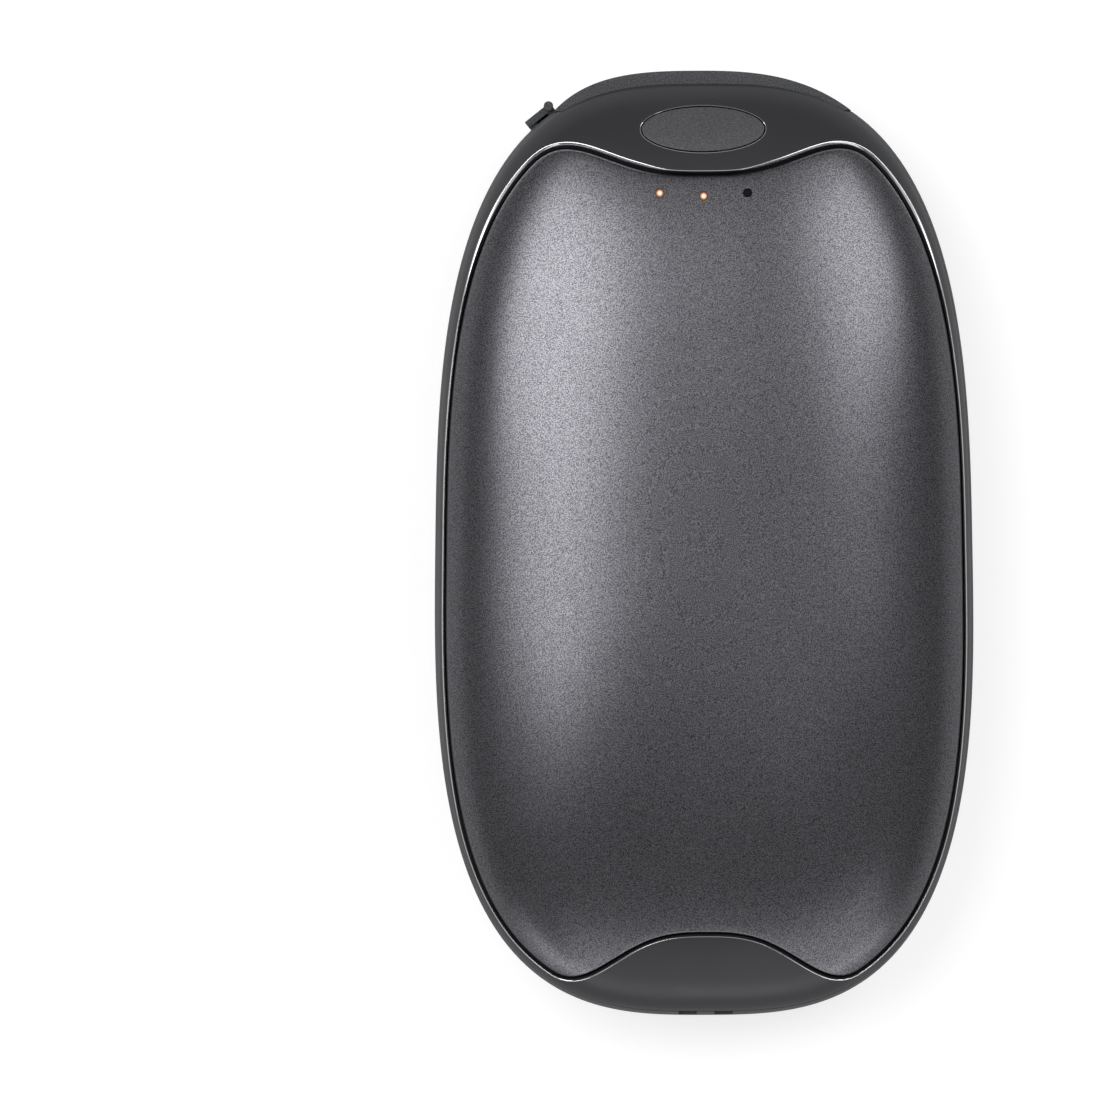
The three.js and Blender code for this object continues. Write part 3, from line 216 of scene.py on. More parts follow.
# Growth of the inset and height over the face of the cover's rounded edge
REAR_EDGE = ((0, 0.25), (0.08, 0.08), (0.25, 0))
REAR_FLAT = 5.0
PAD_SIDE_INSET = 5.2
PAD_END_INSET = 7.2
PAD_FOOT = 0.15
PAD_ROLL = 0.3
NOTCH_DEPTH = 1.5
NOTCH_HALF_WIDTH = 14.6
NOTCH_FLARE = 1.2
NOTCH_LAP = 0.1
RIBBON_LENGTHS = (38.0, 50.0, 58.0, 50.0, 38.0)
RIBBON_PITCH = 8.2
RIBBON_WIDTH = 3.4
RIBBON_Y = 2.0
RIBBON_SWING = 1.9
RIBBON_WAVE = 27.0
RIBBON_DEPTH = 0.4

# Studio
FLOOR_HALF = 3000.0
FLOOR_GAP = 0.05
FLOOR_GREY = 0.36
# Light that the floor adds where the camera sees it, and where a glossy piece mirrors it
FLOOR_SEEN = 0.72
FLOOR_MIRRORED = 0.22
ROOM_LIGHT = (0.2, 0.2, 0.205)
PICTURE_PIXELS = 1100
ORIGIN_PIXEL = Vector((703.8, 543.0))
PIXELS_PER_MM = 8.722
CAMERA_ROLL = math.radians(0.2)
CAMERA_DISTANCE = 1500.0
CAMERA_SIGHT_METRES = 20.0
SENSOR_WIDTH = 36.0


# Plan outlines and heights

def outline(wide, long, power=OUTLINE_POWER, shift=0.0, count=AROUND):
    """A rounded outline that tapers a little towards the upper end."""
    angle = np.linspace(0, 2 * np.pi, count, endpoint=False)
    across, along = np.cos(angle), np.sin(angle)
    norm = (np.abs(across) ** power + np.abs(along) ** power) ** (1 / power)
    y = long * along / norm
    x = wide * across / norm * (1 - TAPER * y / HALF_LENGTH)
    return np.stack([x, y + shift], 1)


def body_outline(side, end):
    """The body's outline, drawn in by one inset at the sides and another at the ends."""
    return outline(HALF_WIDTH - side, HALF_LENGTH - end)


def wave(x, depth, half_span):
    """One smooth swell across an end of the plate."""
    swell = depth * (1 + np.cos(np.pi * np.abs(x / half_span) ** WAVE_POWER)) / 2
    return np.where(np.abs(x) < half_span, swell, 0.0)


def plate_outline(growth):
    """The plate's edge, moved out by growth; growth may differ from point to point."""
    base = outline(PLATE_HALF_WIDTH, PLATE_HALF_LENGTH, PLATE_POWER, PLATE_SHIFT)
    top = base[:, 1] > 0
    dip = np.where(top, -wave(base[:, 0], *TOP_WAVE), wave(base[:, 0], *END_WAVE))
    base[:, 1] += dip
    ahead, behind = np.roll(base, -1, 0), np.roll(base, 1, 0)
    heading = ahead - behind
    outward = np.stack([heading[:, 1], -heading[:, 0]], 1)
    outward /= np.linalg.norm(outward, axis=1)[:, None]
    return base + outward * np.reshape(growth, (-1, 1))


def dome(points, inset=0.0):
    """Height of the crown over plan points, or of a shell that lies inset below it."""
    x, y = points[:, 0], points[:, 1]
    wide = (HALF_WIDTH - inset) * (1 - TAPER * y / HALF_LENGTH)
    reach = np.abs(x / wide) ** OUTLINE_POWER + np.abs(y / (HALF_LENGTH - inset)) ** OUTLINE_POWER
    flat = np.minimum(1, reach ** (CROWN_POWER / OUTLINE_POWER))
    return GIRTH + (THICKNESS - GIRTH - inset) * (1 - flat) ** (1 / CROWN_POWER)


def at(points, height):
    """Plan points raised to one height, or each to its own."""
    return np.column_stack([points, np.broadcast_to(height, len(points))])


def blend(start, end, share):
    return start + (end - start) * share


def smoothstep(value, low, high):
    share = np.clip((value - low) / (high - low), 0, 1)
    return share * share * (3 - 2 * share)


# Meshes

def to_mesh(name, points, faces):
    world = np.asarray(points, float) + (0, FRAME_SHIFT, 0)
    mesh = bpy.data.meshes.new(name)
    mesh.from_pydata((world * MM).tolist(), [], faces)
    mesh.validate()
    piece = bpy.data.objects.new(name, mesh)
    bpy.context.scene.collection.objects.link(piece)
    smooth(piece)
    return piece


def smooth(piece, sharp_angle=SHARP_ANGLE):
    work = bmesh.new()
    work.from_mesh(piece.data)
    bmesh.ops.recalc_face_normals(work, faces=work.faces)
    limit = math.radians(sharp_angle)
    for face in work.faces:
        face.smooth = True
    for edge in work.edges:
        edge.smooth = edge.calc_face_angle(0) < limit
    work.to_mesh(piece.data)
    work.free()


def loft(name, rings, closed=False):
    """A skin over rings of equal count. Its ends are capped, or meet when it is closed."""
    rings = [np.asarray(ring, float) for ring in rings]
    count = len(rings[0])
    points = np.concatenate(rings)
    here = np.arange(count)
    there = (here + 1) % count
    faces = []
    last = len(rings) if closed else len(rings) - 1
    for k in range(last):
        low, high = k * count, (k + 1) % len(rings) * count
        faces += np.stack([low + here, low + there, high + there, high + here], 1).tolist()
    if not closed:
        ends = [rings[0].mean(0), rings[-1].mean(0)]
        first = len(points)
        points = np.concatenate([points, ends])
        base = (len(rings) - 1) * count
        faces += np.stack([there, here, np.full(count, first)], 1).tolist()
        faces += np.stack([base + here, base + there, np.full(count, first + 1)], 1).tolist()
    return to_mesh(name, points, faces)


def prism(name, points, bottom, top):
    """An upright block over any outline, with one flat face at each end."""
    here = np.arange(len(points))
    there = np.roll(here, -1)
    above = len(points)
    faces = np.stack([here, there, above + there, above + here], 1).tolist()
    faces += [here[::-1].tolist(), (above + here).tolist()]
    return to_mesh(name, np.concatenate([at(points, bottom), at(points, top)]), faces)


def box(name, low, high):
    corners = [(low[0], low[1]), (high[0], low[1]), (high[0], high[1]), (low[0], high[1])]
    return prism(name, np.array(corners, float), low[2], high[2])


def round_post(name, x, y, radius, bottom, top, count=48):
    return prism(name, ellipse(radius, radius, x, y, count), bottom, top)


def ellipse(wide, high, x=0.0, y=0.0, count=96):
    angle = np.linspace(0, 2 * np.pi, count, endpoint=False)
    return np.stack([x + wide * np.cos(angle), y + high * np.sin(angle)], 1)


def carve(piece, *tools, operation="DIFFERENCE"):
    """Cuts the tools out of a piece, or adds them to it, and takes the tools away."""
    for tool in tools:
        modifier = piece.modifiers.new("carve", "BOOLEAN")
        modifier.operation = operation
        modifier.solver = "EXACT"
        modifier.object = tool
        bpy.context.view_layer.update()
        graph = bpy.context.evaluated_depsgraph_get()
        result = bpy.data.meshes.new_from_object(piece.evaluated_get(graph))
        piece.modifiers.clear()
        piece.data = result
        bpy.data.objects.remove(tool)
    smooth(piece)
    return piece


def soften(piece, width, segments=3, angle=40.0):
    """Rounds the sharp edges of a piece by a bevel of that width."""
    modifier = piece.modifiers.new("soften", "BEVEL")
    modifier.width = width * MM
    modifier.segments = segments
    modifier.limit_method = "ANGLE"
    modifier.angle_limit = math.radians(angle)
    bpy.context.view_layer.update()
    graph = bpy.context.evaluated_depsgraph_get()
    result = bpy.data.meshes.new_from_object(piece.evaluated_get(graph))
    piece.modifiers.clear()
    piece.data = result
    smooth(piece, ROUNDED_SHARP_ANGLE)
    return piece


# Materials

def material(name, color, roughness, metallic=0.0, specular=0.5):
    made = bpy.data.materials.new(name)
    made.use_nodes = True
    shader = made.node_tree.nodes["Principled BSDF"]
    shader.inputs["Base Color"].default_value = (*color, 1)
    shader.inputs["Roughness"].default_value = roughness
    shader.inputs["Metallic"].default_value = metallic
    shader.inputs["Specular IOR Level"].default_value = specular
    return made


def place_noise(made, scale_mm, detail=2.0):
    """Noise whose grain is scale_mm across, in the piece's own metres."""
    nodes, links = made.node_tree.nodes, made.node_tree.links
    spot = nodes.new("ShaderNodeTexCoord")
    noise = nodes.new("ShaderNodeTexNoise")
    noise.inputs["Scale"].default_value = 1 / (scale_mm * MM)
    noise.inputs["Detail"].default_value = detail
    links.new(spot.outputs["Object"], noise.inputs["Vector"])
    return noise.outputs["Fac"]


def vary(made, socket, value, low, high, start=0.3, end=0.7):
    """Drives a shader socket by a noise value, between two numbers or two colours."""
    nodes, links = made.node_tree.nodes, made.node_tree.links
    shader = nodes["Principled BSDF"]
    if isinstance(low, tuple):
        ramp = nodes.new("ShaderNodeValToRGB")
        ramp.color_ramp.elements[0].position = start
        ramp.color_ramp.elements[1].position = end
        ramp.color_ramp.elements[0].color = (*low, 1)
        ramp.color_ramp.elements[1].color = (*high, 1)
        links.new(value, ramp.inputs["Fac"])
        links.new(ramp.outputs["Color"], shader.inputs[socket])
        return
    spread = nodes.new("ShaderNodeMapRange")
    spread.inputs["From Min"].default_value = start
    spread.inputs["From Max"].default_value = end
    spread.inputs["To Min"].default_value = low
    spread.inputs["To Max"].default_value = high
    links.new(value, spread.inputs["Value"])
    links.new(spread.outputs["Result"], shader.inputs[socket])


def roughen(made, value, depth_mm, strength=1.0):
    """Bump of that depth from a noise value, on top of any bump before it."""
    nodes, links = made.node_tree.nodes, made.node_tree.links
    shader = nodes["Principled BSDF"]
    bump = nodes.new("ShaderNodeBump")
    bump.inputs["Strength"].default_value = strength
    bump.inputs["Distance"].default_value = depth_mm * MM
    links.new(value, bump.inputs["Height"])
    before = shader.inputs["Normal"].links
    if before:
        links.new(before[0].from_socket, bump.inputs["Normal"])
    links.new(bump.outputs["Normal"], shader.inputs["Normal"])


def shade(color, factor):
    return tuple(channel * factor for channel in color)


def grained(name, color, rough, grain, depth, contrast=0.12, **finish):
    """A surface with one fine grain: its colour, roughness and bump all follow it."""
    made = material(name, color, rough, **finish)
    speck = place_noise(made, grain)
    vary(made, "Base Color", speck, shade(color, 1 - contrast), shade(color, 1 + contrast))
    cloud = place_noise(made, grain * CLOUD_SCALE, detail=3)
    vary(made, "Roughness", cloud, rough * (1 - CLOUD_CONTRAST), rough * (1 + CLOUD_CONTRAST))
    roughen(made, speck, depth)
    return made


CLOUD_SCALE = 40
CLOUD_CONTRAST = 0.08

GRAPHITE = (0.128, 0.127, 0.138)
MIRROR_GREY = (0.68, 0.68, 0.69)
SATIN_BLACK = (0.03, 0.03, 0.033)
SHELL_GREY = (0.055, 0.057, 0.062)
REAR_GREY = (0.075, 0.078, 0.084)
RUBBER_GREY = (0.06, 0.061, 0.066)
CAP_GREY = (0.062, 0.06, 0.064)
INNER_BLACK = (0.02, 0.021, 0.023)
TONGUE_BLACK = (0.012, 0.012, 0.013)
CHIP_BLACK = (0.014, 0.014, 0.015)
FERRITE_GREY = (0.05, 0.05, 0.052)
FOAM_GREY = (0.16, 0.16, 0.165)
FOIL_SILVER = (0.55, 0.56, 0.58)
STEEL = (0.62, 0.62, 0.64)
ZINC = (0.6, 0.6, 0.62)
NICKEL = (0.66, 0.67, 0.69)
GOLD = (0.8, 0.55, 0.2)
AMBER_FILM = (0.5, 0.2, 0.045)
LEAD_RED = (0.48, 0.02, 0.015)
BOARD_GREEN = (0.015, 0.12, 0.045)

blasted = material("blasted_aluminium", GRAPHITE, 0.37, metallic=0.92)
grit = place_noise(blasted, 0.12, detail=0.5)
vary(blasted, "Base Color", grit, shade(GRAPHITE, 0.5), shade(GRAPHITE, 1.6), start=0.36, end=0.64)
vary(blasted, "Roughness", place_noise(blasted, 9, detail=3), 0.29, 0.32)
roughen(blasted, grit, 0.016, strength=0.6)

polished = material("polished_edge", MIRROR_GREY, 0.12, metallic=1.0)
vary(polished, "Roughness", place_noise(polished, 3, detail=3), 0.09, 0.13)
roughen(polished, place_noise(polished, 2.5), 0.001, strength=0.3)

satin = material("satin_black", SATIN_BLACK, 0.3, specular=0.3)
cloud = place_noise(satin, 14, detail=4)
vary(satin, "Base Color", cloud, shade(SATIN_BLACK, 0.9), shade(SATIN_BLACK, 1.12))
vary(satin, "Roughness", place_noise(satin, 6, detail=4), 0.27, 0.33)
roughen(satin, place_noise(satin, 0.5), 0.002, strength=0.4)

shell_plastic = grained("shell_plastic", SHELL_GREY, rough=0.55, grain=0.3, depth=0.012, contrast=0.1)
cover_plastic = grained("cover_plastic", REAR_GREY, rough=0.62, grain=0.28, depth=0.016, contrast=0.14)
cap_plastic = grained("cap_plastic", CAP_GREY, rough=0.5, grain=0.18, depth=0.03, contrast=0.45)
rubber = grained(
    "cover_rubber", RUBBER_GREY, rough=0.8, grain=0.17, depth=0.05, contrast=0.55, specular=0.35,
)
frame_plastic = grained("inner_plastic", INNER_BLACK, rough=0.5, grain=0.5, depth=0.01)
nickel = grained("port_steel", STEEL, rough=0.26, grain=0.8, depth=0.004, contrast=0.05, metallic=1.0)
zinc = grained("screw_steel", ZINC, rough=0.32, grain=0.4, depth=0.006, contrast=0.08, metallic=1.0)
magnet_plate = grained(
    "magnet_nickel", NICKEL, rough=0.22, grain=1.2, depth=0.003, contrast=0.05, metallic=1.0,
)
tongue_plastic = grained("tongue_plastic", TONGUE_BLACK, rough=0.45, grain=0.4, depth=0.006)
chip_plastic = grained("chip_plastic", CHIP_BLACK, rough=0.5, grain=0.2, depth=0.01)
ferrite = grained("ferrite", FERRITE_GREY, rough=0.7, grain=0.3, depth=0.02, contrast=0.2)
foil = grained("cell_foil", FOIL_SILVER, rough=0.34, grain=3.0, depth=0.12, contrast=0.05, metallic=0.9)
polyimide = grained("polyimide", AMBER_FILM, rough=0.3, grain=1.5, depth=0.01, contrast=0.15)
foam = grained("foam", FOAM_GREY, rough=0.95, grain=0.5, depth=0.12, contrast=0.25)
red_silicone = grained("red_silicone", LEAD_RED, rough=0.45, grain=0.4, depth=0.006)
black_silicone = grained("black_silicone", TONGUE_BLACK, rough=0.45, grain=0.4, depth=0.006)
solder_mask = grained("solder_mask", BOARD_GREEN, rough=0.35, grain=1.1, depth=0.02, contrast=0.35)
gold = grained("gold_contact", GOLD, rough=0.25, grain=0.3, depth=0.003, contrast=0.06, metallic=1.0)

LIT_BODY = (0.2, 0.14, 0.1)
UNLIT_BODY = (0.006, 0.006, 0.008)
LIT_ROUGHNESS = (0.2, 0.32)
UNLIT_ROUGHNESS = (0.7, 0.8)
# Glow of a lit guide, with painted light round its middle: an amber ring of painted reflection and a
# dark brown edge of painted shade, both of the hole's wall. Distance from its middle in millimetres,
# and colour
GLOW_AND_PAINTED_RIM_STEPS = ((0.15, (1.0, 0.86, 0.72)), (0.3, (0.55, 0.2, 0.05)), (0.43, (0.08, 0.025, 0.008)))
GLOW_STRENGTH = 0.95


def light_material(name, centre, lit):
    """A light guide. When it is lit its middle glows white, ringed by an amber painted reflection and a
    dark brown painted shade of the hole's wall.
    """
    made = material(name, LIT_BODY if lit else UNLIT_BODY, 0.25, specular=0.1)
    vary(made, "Roughness", place_noise(made, 0.4), *(LIT_ROUGHNESS if lit else UNLIT_ROUGHNESS))
    if lit:
        glow_with_painted_rim(made, centre)
    return made


def glow_with_painted_rim(made, centre):
    """Glow of a round guide, with a painted reflection and painted shade of the hole's wall at its rim.
    The colour goes by the distance from its middle.
    """
    nodes, links = made.node_tree.nodes, made.node_tree.links
    spot = nodes.new("ShaderNodeTexCoord")
    away = nodes.new("ShaderNodeVectorMath")
    away.operation = "SUBTRACT"
    away.inputs[1].default_value = (centre[0] * MM, (centre[1] + FRAME_SHIFT) * MM, 0)
    flat = nodes.new("ShaderNodeVectorMath")
    flat.operation = "MULTIPLY"
    flat.inputs[1].default_value = (1 / MM, 1 / MM, 0)
    length = nodes.new("ShaderNodeVectorMath")
    length.operation = "LENGTH"
    ramp = nodes.new("ShaderNodeValToRGB")
    stops = ramp.color_ramp.elements
    # The amber and dark brown stops are painted reflection and painted shade of the hole's wall, drawn
    # as glow on the guide.
    stops.new(GLOW_AND_PAINTED_RIM_STEPS[1][0])
    for stop, (radius, color) in zip(stops, GLOW_AND_PAINTED_RIM_STEPS):
        stop.position = radius
        stop.color = (*color, 1)
    shader = nodes["Principled BSDF"]
    shader.inputs["Emission Strength"].default_value = GLOW_STRENGTH
    links.new(spot.outputs["Object"], away.inputs[0])
    links.new(away.outputs["Vector"], flat.inputs[0])
    links.new(flat.outputs["Vector"], length.inputs[0])
    links.new(length.outputs["Value"], ramp.inputs["Fac"])
    links.new(ramp.outputs["Color"], shader.inputs["Emission Color"])


def finish_piece(piece, made, body, slot, *nodes):
    """Gives a piece its material, puts it under its body and hides the CAD nodes that it stands for.
    Its slot is not used.
    """
    if not piece.data.materials:
        piece.data.materials.append(made)
    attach(piece, body)
    if nodes:
        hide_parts(*nodes)
    return piece


# Heat plate

def heat_plate():
    """A domed sheet: its underside from the middle out, its rolled edge, then its top."""
    under = PLATE_SINK + PLATE_THICKNESS
    tighter = smoothstep(-plate_outline(0.0)[:, 1], *ROLL_EASE)
    roll = PLATE_ROLL * (1 - ROLL_EASE_SHARE * tighter)
    inner = plate_outline(-roll)
    middle = np.tile([0.0, PLATE_SHIFT], (AROUND, 1))
    rings = []
    for share in PLATE_UNDER_SHARES:
        ring = blend(middle, plate_outline(-PLATE_UNDER_INSET), share)
        rings.append(at(ring, np.maximum(dome(ring, under), SPLIT + PLATE_UNDER_RISE)))
    for turn in np.linspace(0, np.pi / 2, 8):
        ring = plate_outline(-roll * (1 - np.cos(turn)))
        drop = roll * (1 - np.sin(turn))
        rings.append(at(ring, dome(ring, PLATE_SINK) - drop))
    for share in np.linspace(1, 0.02, 46)[1:] ** CROWDING:
        ring = blend(middle, inner, share)
        rings.append(at(ring, dome(ring, PLATE_SINK)))
    plate = loft("heat_plate_skin", rings)
    above = THICKNESS + OVERRUN
    holes = [round_post("light_hole", x, y, LIGHT_HOLE, GIRTH, above) for x, y in LIGHTS]
    return carve(plate, *holes)


finish_piece(heat_plate(), blasted, "body", "heat_plate", "heat_plate")


# Front bezel

def inner_edge():
    """Widths and drops of the bezel's inner edge, at each point round the plate."""
    edge = plate_outline(0.0)
    across, along = np.abs(edge[:, 0]), edge[:, 1]
    ends = smoothstep(np.abs(along), *END_REACH)
    arches = smoothstep(along, *ARCH_REACH) * smoothstep(across, *ARCH_START)
    bevel = blend(*BEVEL_WIDTH, arches)
    steep = blend(*STEEP_WIDTH, ends)
    bevel_drop = bevel * blend(*BEVEL_SLOPE, ends)
    drop = blend(*EDGE_DROP, ends)
    return bevel, steep, bevel_drop, drop


def bezel_outside(back):
    """From the split line up the dome, to the crest that runs round the plate."""
    rise = (SPLIT - GIRTH) / (THICKNESS - GIRTH)
    spread = (1 - rise ** CROWN_POWER) ** (1 / CROWN_POWER)
    wide, long = HALF_WIDTH * spread, HALF_LENGTH * spread
    foot = blend(back, outline(wide, long), BEZEL_FOOT_SHARE)
    rings = [at(outline(wide - inset, long - inset), SPLIT + height) for inset, height in BEZEL_FOOT]
    for share in 1 - np.linspace(0.03, 1, 30) ** FOOT_CROWDING:
        ring = blend(back, foot, share)
        rings.append(at(ring, dome(ring)))
    return rings


def bezel_edge(bevel, steep, bevel_drop, drop):
    """Over the round crest, down the polished bevel and round its shoulder to the steep part."""
    rings = []
    slope = bevel_drop / bevel
    for turn in np.linspace(0, 1, 5)[1:]:
        out = bevel + CREST * (1 - turn) ** 2 - SHOULDER * turn ** 2
        ring = plate_outline(PLATE_GAP + steep + out)
        rings.append(at(ring, dome(ring) - slope * SHOULDER * turn ** 2))
    share = steep / np.hypot(steep, drop - bevel_drop)
    for turn in np.linspace(0, 1, 5):
        before = SHOULDER * (1 - turn) ** 2
        past = SHOULDER * share * turn ** 2
        ring = plate_outline(PLATE_GAP + steep + before - past)
        fall = bevel_drop - slope * before + (drop - bevel_drop) / steep * past
        rings.append(at(ring, dome(ring) - fall))
    return rings


def bezel_inside(mouth):
    """Down the gap to the plate's seat, round the ledge and under the vault to the housing."""
    seat_height = SPLIT + SEAT_RISE
    seat = plate_outline(-SEAT_INSET)
    rings = [at(ring, np.maximum(dome(ring, SEAT_DEPTH), seat_height)) for ring in (mouth, seat)]
    ledge = plate_outline(-LEDGE_INSET)
    rings += [at(ledge, dome(ledge, depth)) for depth in LEDGE_DEPTHS]
    wall = body_outline(SIDE_WALL, END_WALL)
    for share, depth in BEZEL_VAULT:
        ring = blend(ledge, wall, share)
        rings.append(at(ring, np.maximum(dome(ring, depth), SPLIT + BEZEL_VAULT_RISE)))
    rings.append(at(wall, SPLIT + BEZEL_REST))
    return rings


def front_bezel():
    """A hoop: up the outside from the split line, over the polished crest, down into the gap."""
    bevel, steep, bevel_drop, drop = inner_edge()
    outside = bezel_outside(plate_outline(PLATE_GAP + steep + bevel + CREST))
    edge = bezel_edge(bevel, steep, bevel_drop, drop)
    mouth = plate_outline(PLATE_GAP)
    rings = [*outside, *edge, at(mouth, dome(mouth) - drop), *bezel_inside(mouth)]
    hoop = loft("front_bezel_shell", rings, closed=True)
    first = len(outside) - 1
    polish(hoop, first, first + len(edge) - 1)
    return carve(hoop, button_well(), light_window())


def polish(piece, first, last):
    """Gives the bands of a loft between two of its rings the polished finish."""
    piece.data.materials.append(satin)
    piece.data.materials.append(polished)
    for face in piece.data.polygons[first * AROUND:last * AROUND]:
        face.material_index = 1


def button_well():
    """The cutter of the button's hole, whose polished edge is slightly rounded."""
    rings = []
    for growth, depth in WELL_STEPS:
        reach = BUTTON_GAP + growth
        ring = ellipse(BUTTON_SEMI[0] + reach, BUTTON_SEMI[1] + reach, 0, BUTTON_Y, AROUND)
        rings.append(at(ring, np.maximum(dome(ring, depth), SPLIT - WELL_DEPTH)))
    rings.append(rings[-1] + (0, 0, 3 * OVERRUN))
    well = loft("button_well", rings)
    polish(well, 1, len(WELL_STEPS) - 1)
    return well


def light_window():
    back, front = LIGHT_WINDOW_Y
    low = (-LIGHT_WINDOW_HALF_WIDTH, back, SPLIT - OVERRUN)
    return box("light_window", low, (LIGHT_WINDOW_HALF_WIDTH, front, LIGHT_WINDOW_TOP))


finish_piece(front_bezel(), satin, "body", "bezel", "front_bezel")


# Power button

def cap_ring(inset, share=1.0):
    """An oval of the cap, drawn in by inset and then scaled by share."""
    wide, high = BUTTON_SEMI
    return ellipse((wide - inset) * share, (high - inset) * share, 0, BUTTON_Y)


def power_button():
    """The oval cap: its flat underside, its rolled edge and its faintly crowned top."""
    rings = []
    for share in (0.1, 0.5, 0.85, 1.0):
        ring = cap_ring(0, share)
        rings.append(at(ring, dome(ring, CAP_THICKNESS)))
    for turn in np.linspace(0, np.pi / 2, 7):
        ring = cap_ring(CAP_ROLL * (1 - np.cos(turn)))
        rings.append(at(ring, dome(ring, CAP_SINK) - CAP_ROLL * (1 - np.sin(turn))))
    for share in np.linspace(0.95, 0.05, 14):
        ring = cap_ring(CAP_ROLL, share)
        rings.append(at(ring, dome(ring, CAP_SINK) + CAP_CROWN * (1 - share ** 2)))
    return loft("power_button_cap", rings)


finish_piece(power_button(), cap_plastic, "button", "button", "power_button")


# Housing

def belly_ring(height):
    """The underside's outline at a height below the girth."""
    drop = (GIRTH - height) / GIRTH
    draw = 1 - (1 - drop ** BELLY_POWER) ** (1 / BELLY_POWER)
    return at(body_outline(BELLY_SIDE * draw, BELLY_END * draw), height)


def mid_housing():
    """The side wall as a hoop, with the port wall, the cover's recess and the cord slots."""
    inner = body_outline(SIDE_WALL, END_WALL)
    seat = body_outline(REAR_SIDE_INSET, REAR_END_INSET)
    seat_top = REAR_INSIDE + GAP
    wall_top = SPLIT - SEAM
    rings = [at(inner, wall_top), at(inner, seat_top), at(seat, seat_top), at(seat, RIM + BELLY_LIP)]
    for share in np.linspace(0.99, 0, 22) ** CROWDING * BELLY_REACH_SHARE:
        rings.append(belly_ring(GIRTH * (1 - share)))
    crown = THICKNESS - GIRTH
    for height in np.linspace(GIRTH + WALL_START, SPLIT - SEAM_EDGE, 8):
        scale = (1 - ((height - GIRTH) / crown) ** CROWN_POWER) ** (1 / CROWN_POWER)
        rings.append(at(outline(HALF_WIDTH * scale, HALF_LENGTH * scale), height))
    top = rings[-1][:, :2]
    rings.append(at(blend(top, inner, SEAM_BEVEL_SHARE), SPLIT - SEAM_BEVEL))
    housing = loft("mid_housing_shell", rings, closed=True)
    carve(housing, port_wall(seat_top, wall_top), operation="UNION")
    return carve(housing, cover_recess(), *strap_sockets(), *port_holes(), *cord_slots())


def port_wall(bottom, top):
    """The flat wall behind the port cover, cut to the body's outline at its ends."""
    low = (-END_WALL_HALF, PORT_WALL, bottom)
    wall = box("end_wall", low, (END_WALL_HALF, PORT_FLOOR + PORT_LAP, top))
    keep = prism("keep", body_outline(PORT_WALL_INSET, PORT_WALL_INSET), 0, SPLIT)
    return carve(wall, keep, operation="INTERSECT")


def cover_recess():
    low = (-HALF_WIDTH, PORT_FLOOR, RECESS_BOTTOM)
    return box("recess", low, (HALF_WIDTH, HALF_LENGTH + OVERRUN, SPLIT + OVERRUN))


def port_holes():
    holes = []
    for centre, width, height in (USB_A, USB_C):
        half = width / 2 + GAP
        low = (centre - half, PORT_WALL - 4 * OVERRUN, BOARD_TOP)
        high = (centre + half, PORT_FLOOR + OVERRUN, BOARD_TOP + height + 2 * GAP)
        holes.append(box("port", low, high))
    return holes


def cord_slots():
    slots = []
    for x in (-SLOT_X, SLOT_X):
        low = (x - SLOT_HALF_WIDTH, -HALF_LENGTH - OVERRUN, SLOT_BOTTOM)
        slots.append(box("slot", low, (x + SLOT_HALF_WIDTH, SLOT_INNER_Y, SPLIT + OVERRUN)))
    return slots


# Anchor of the port cover, on the left shoulder

def shoulder_frame():
    """The strap's place on the outline, and the heading of the wall away from the cover."""
    edge = outline(HALF_WIDTH, HALF_LENGTH, count=25 * AROUND)
    start = int(np.argmax(edge[:, 0] < FLAP_HINGE_X))
    away = np.linalg.norm(edge[start:] - edge[start], axis=1)
    middle = start + int(np.argmax(away > STRAP_LENGTH / 2 + GAP))
    reach = 50
    heading = edge[middle + reach] - edge[middle - reach]
    return edge[middle], math.atan2(heading[1], heading[0])


def on_shoulder(piece):
    """Moves a piece made in the shoulder's own frame: x along the wall, y into it."""
    here, turn = shoulder_frame()
    back = Matrix.Translation(Vector((0, -FRAME_SHIFT * MM, 0)))
    spin = Matrix.Rotation(turn, 4, "Z")
    place = Matrix.Translation(Vector((here[0], here[1] + FRAME_SHIFT, 0)) * MM)
    piece.data.transform(place @ spin @ back)
    return piece


def strap_feet():
    """Both ends of each foot, along the strap."""
    half = STRAP_LENGTH / 2
    return (-half, STRAP_FOOT - half), (half - STRAP_FOOT, half)


def strap_sockets():
    sockets = []
    for start, end in strap_feet():
        low = (start - SOCKET_PLAY, -OVERRUN, STRAP_BOTTOM)
        high = (end + SOCKET_PLAY, STRAP_PLUG + SOCKET_SPARE, STRAP_TOP)
        sockets.append(on_shoulder(box("strap_socket", low, high)))
    return sockets


def cover_anchor():
    """A bar on two feet, with the round knob of the tether at the end by the cover."""
    half = STRAP_LENGTH / 2
    outer = -STRAP_SLIT - STRAP_THICKNESS
    bar = box("cover_anchor_bar", (-half, outer, STRAP_BOTTOM), (half, -STRAP_SLIT, STRAP_TOP))
    low, high = STRAP_BOTTOM + STRAP_FOOT_INSET, STRAP_TOP - STRAP_FOOT_INSET
    feet = [box("foot", (x0, outer / 2, low), (x1, STRAP_PLUG, high)) for x0, x1 in strap_feet()]
    reach = half - WEB_INSET
    web_low = (-reach, outer / 2, STRAP_BOTTOM + WEB_BOTTOM)
    web = box("web", web_low, (reach, WEB_BITE, STRAP_BOTTOM + WEB_TOP))
    knob_low, knob_high = STRAP_BOTTOM + KNOB_FOOT, STRAP_TOP + KNOB_HEAD
    knob = round_post("knob", KNOB_INSET - half, outer + KNOB_SINK, KNOB_RADIUS, knob_low, knob_high)
    carve(bar, *feet, web, knob, operation="UNION")
    return on_shoulder(soften(bar, STRAP_ROUNDING))


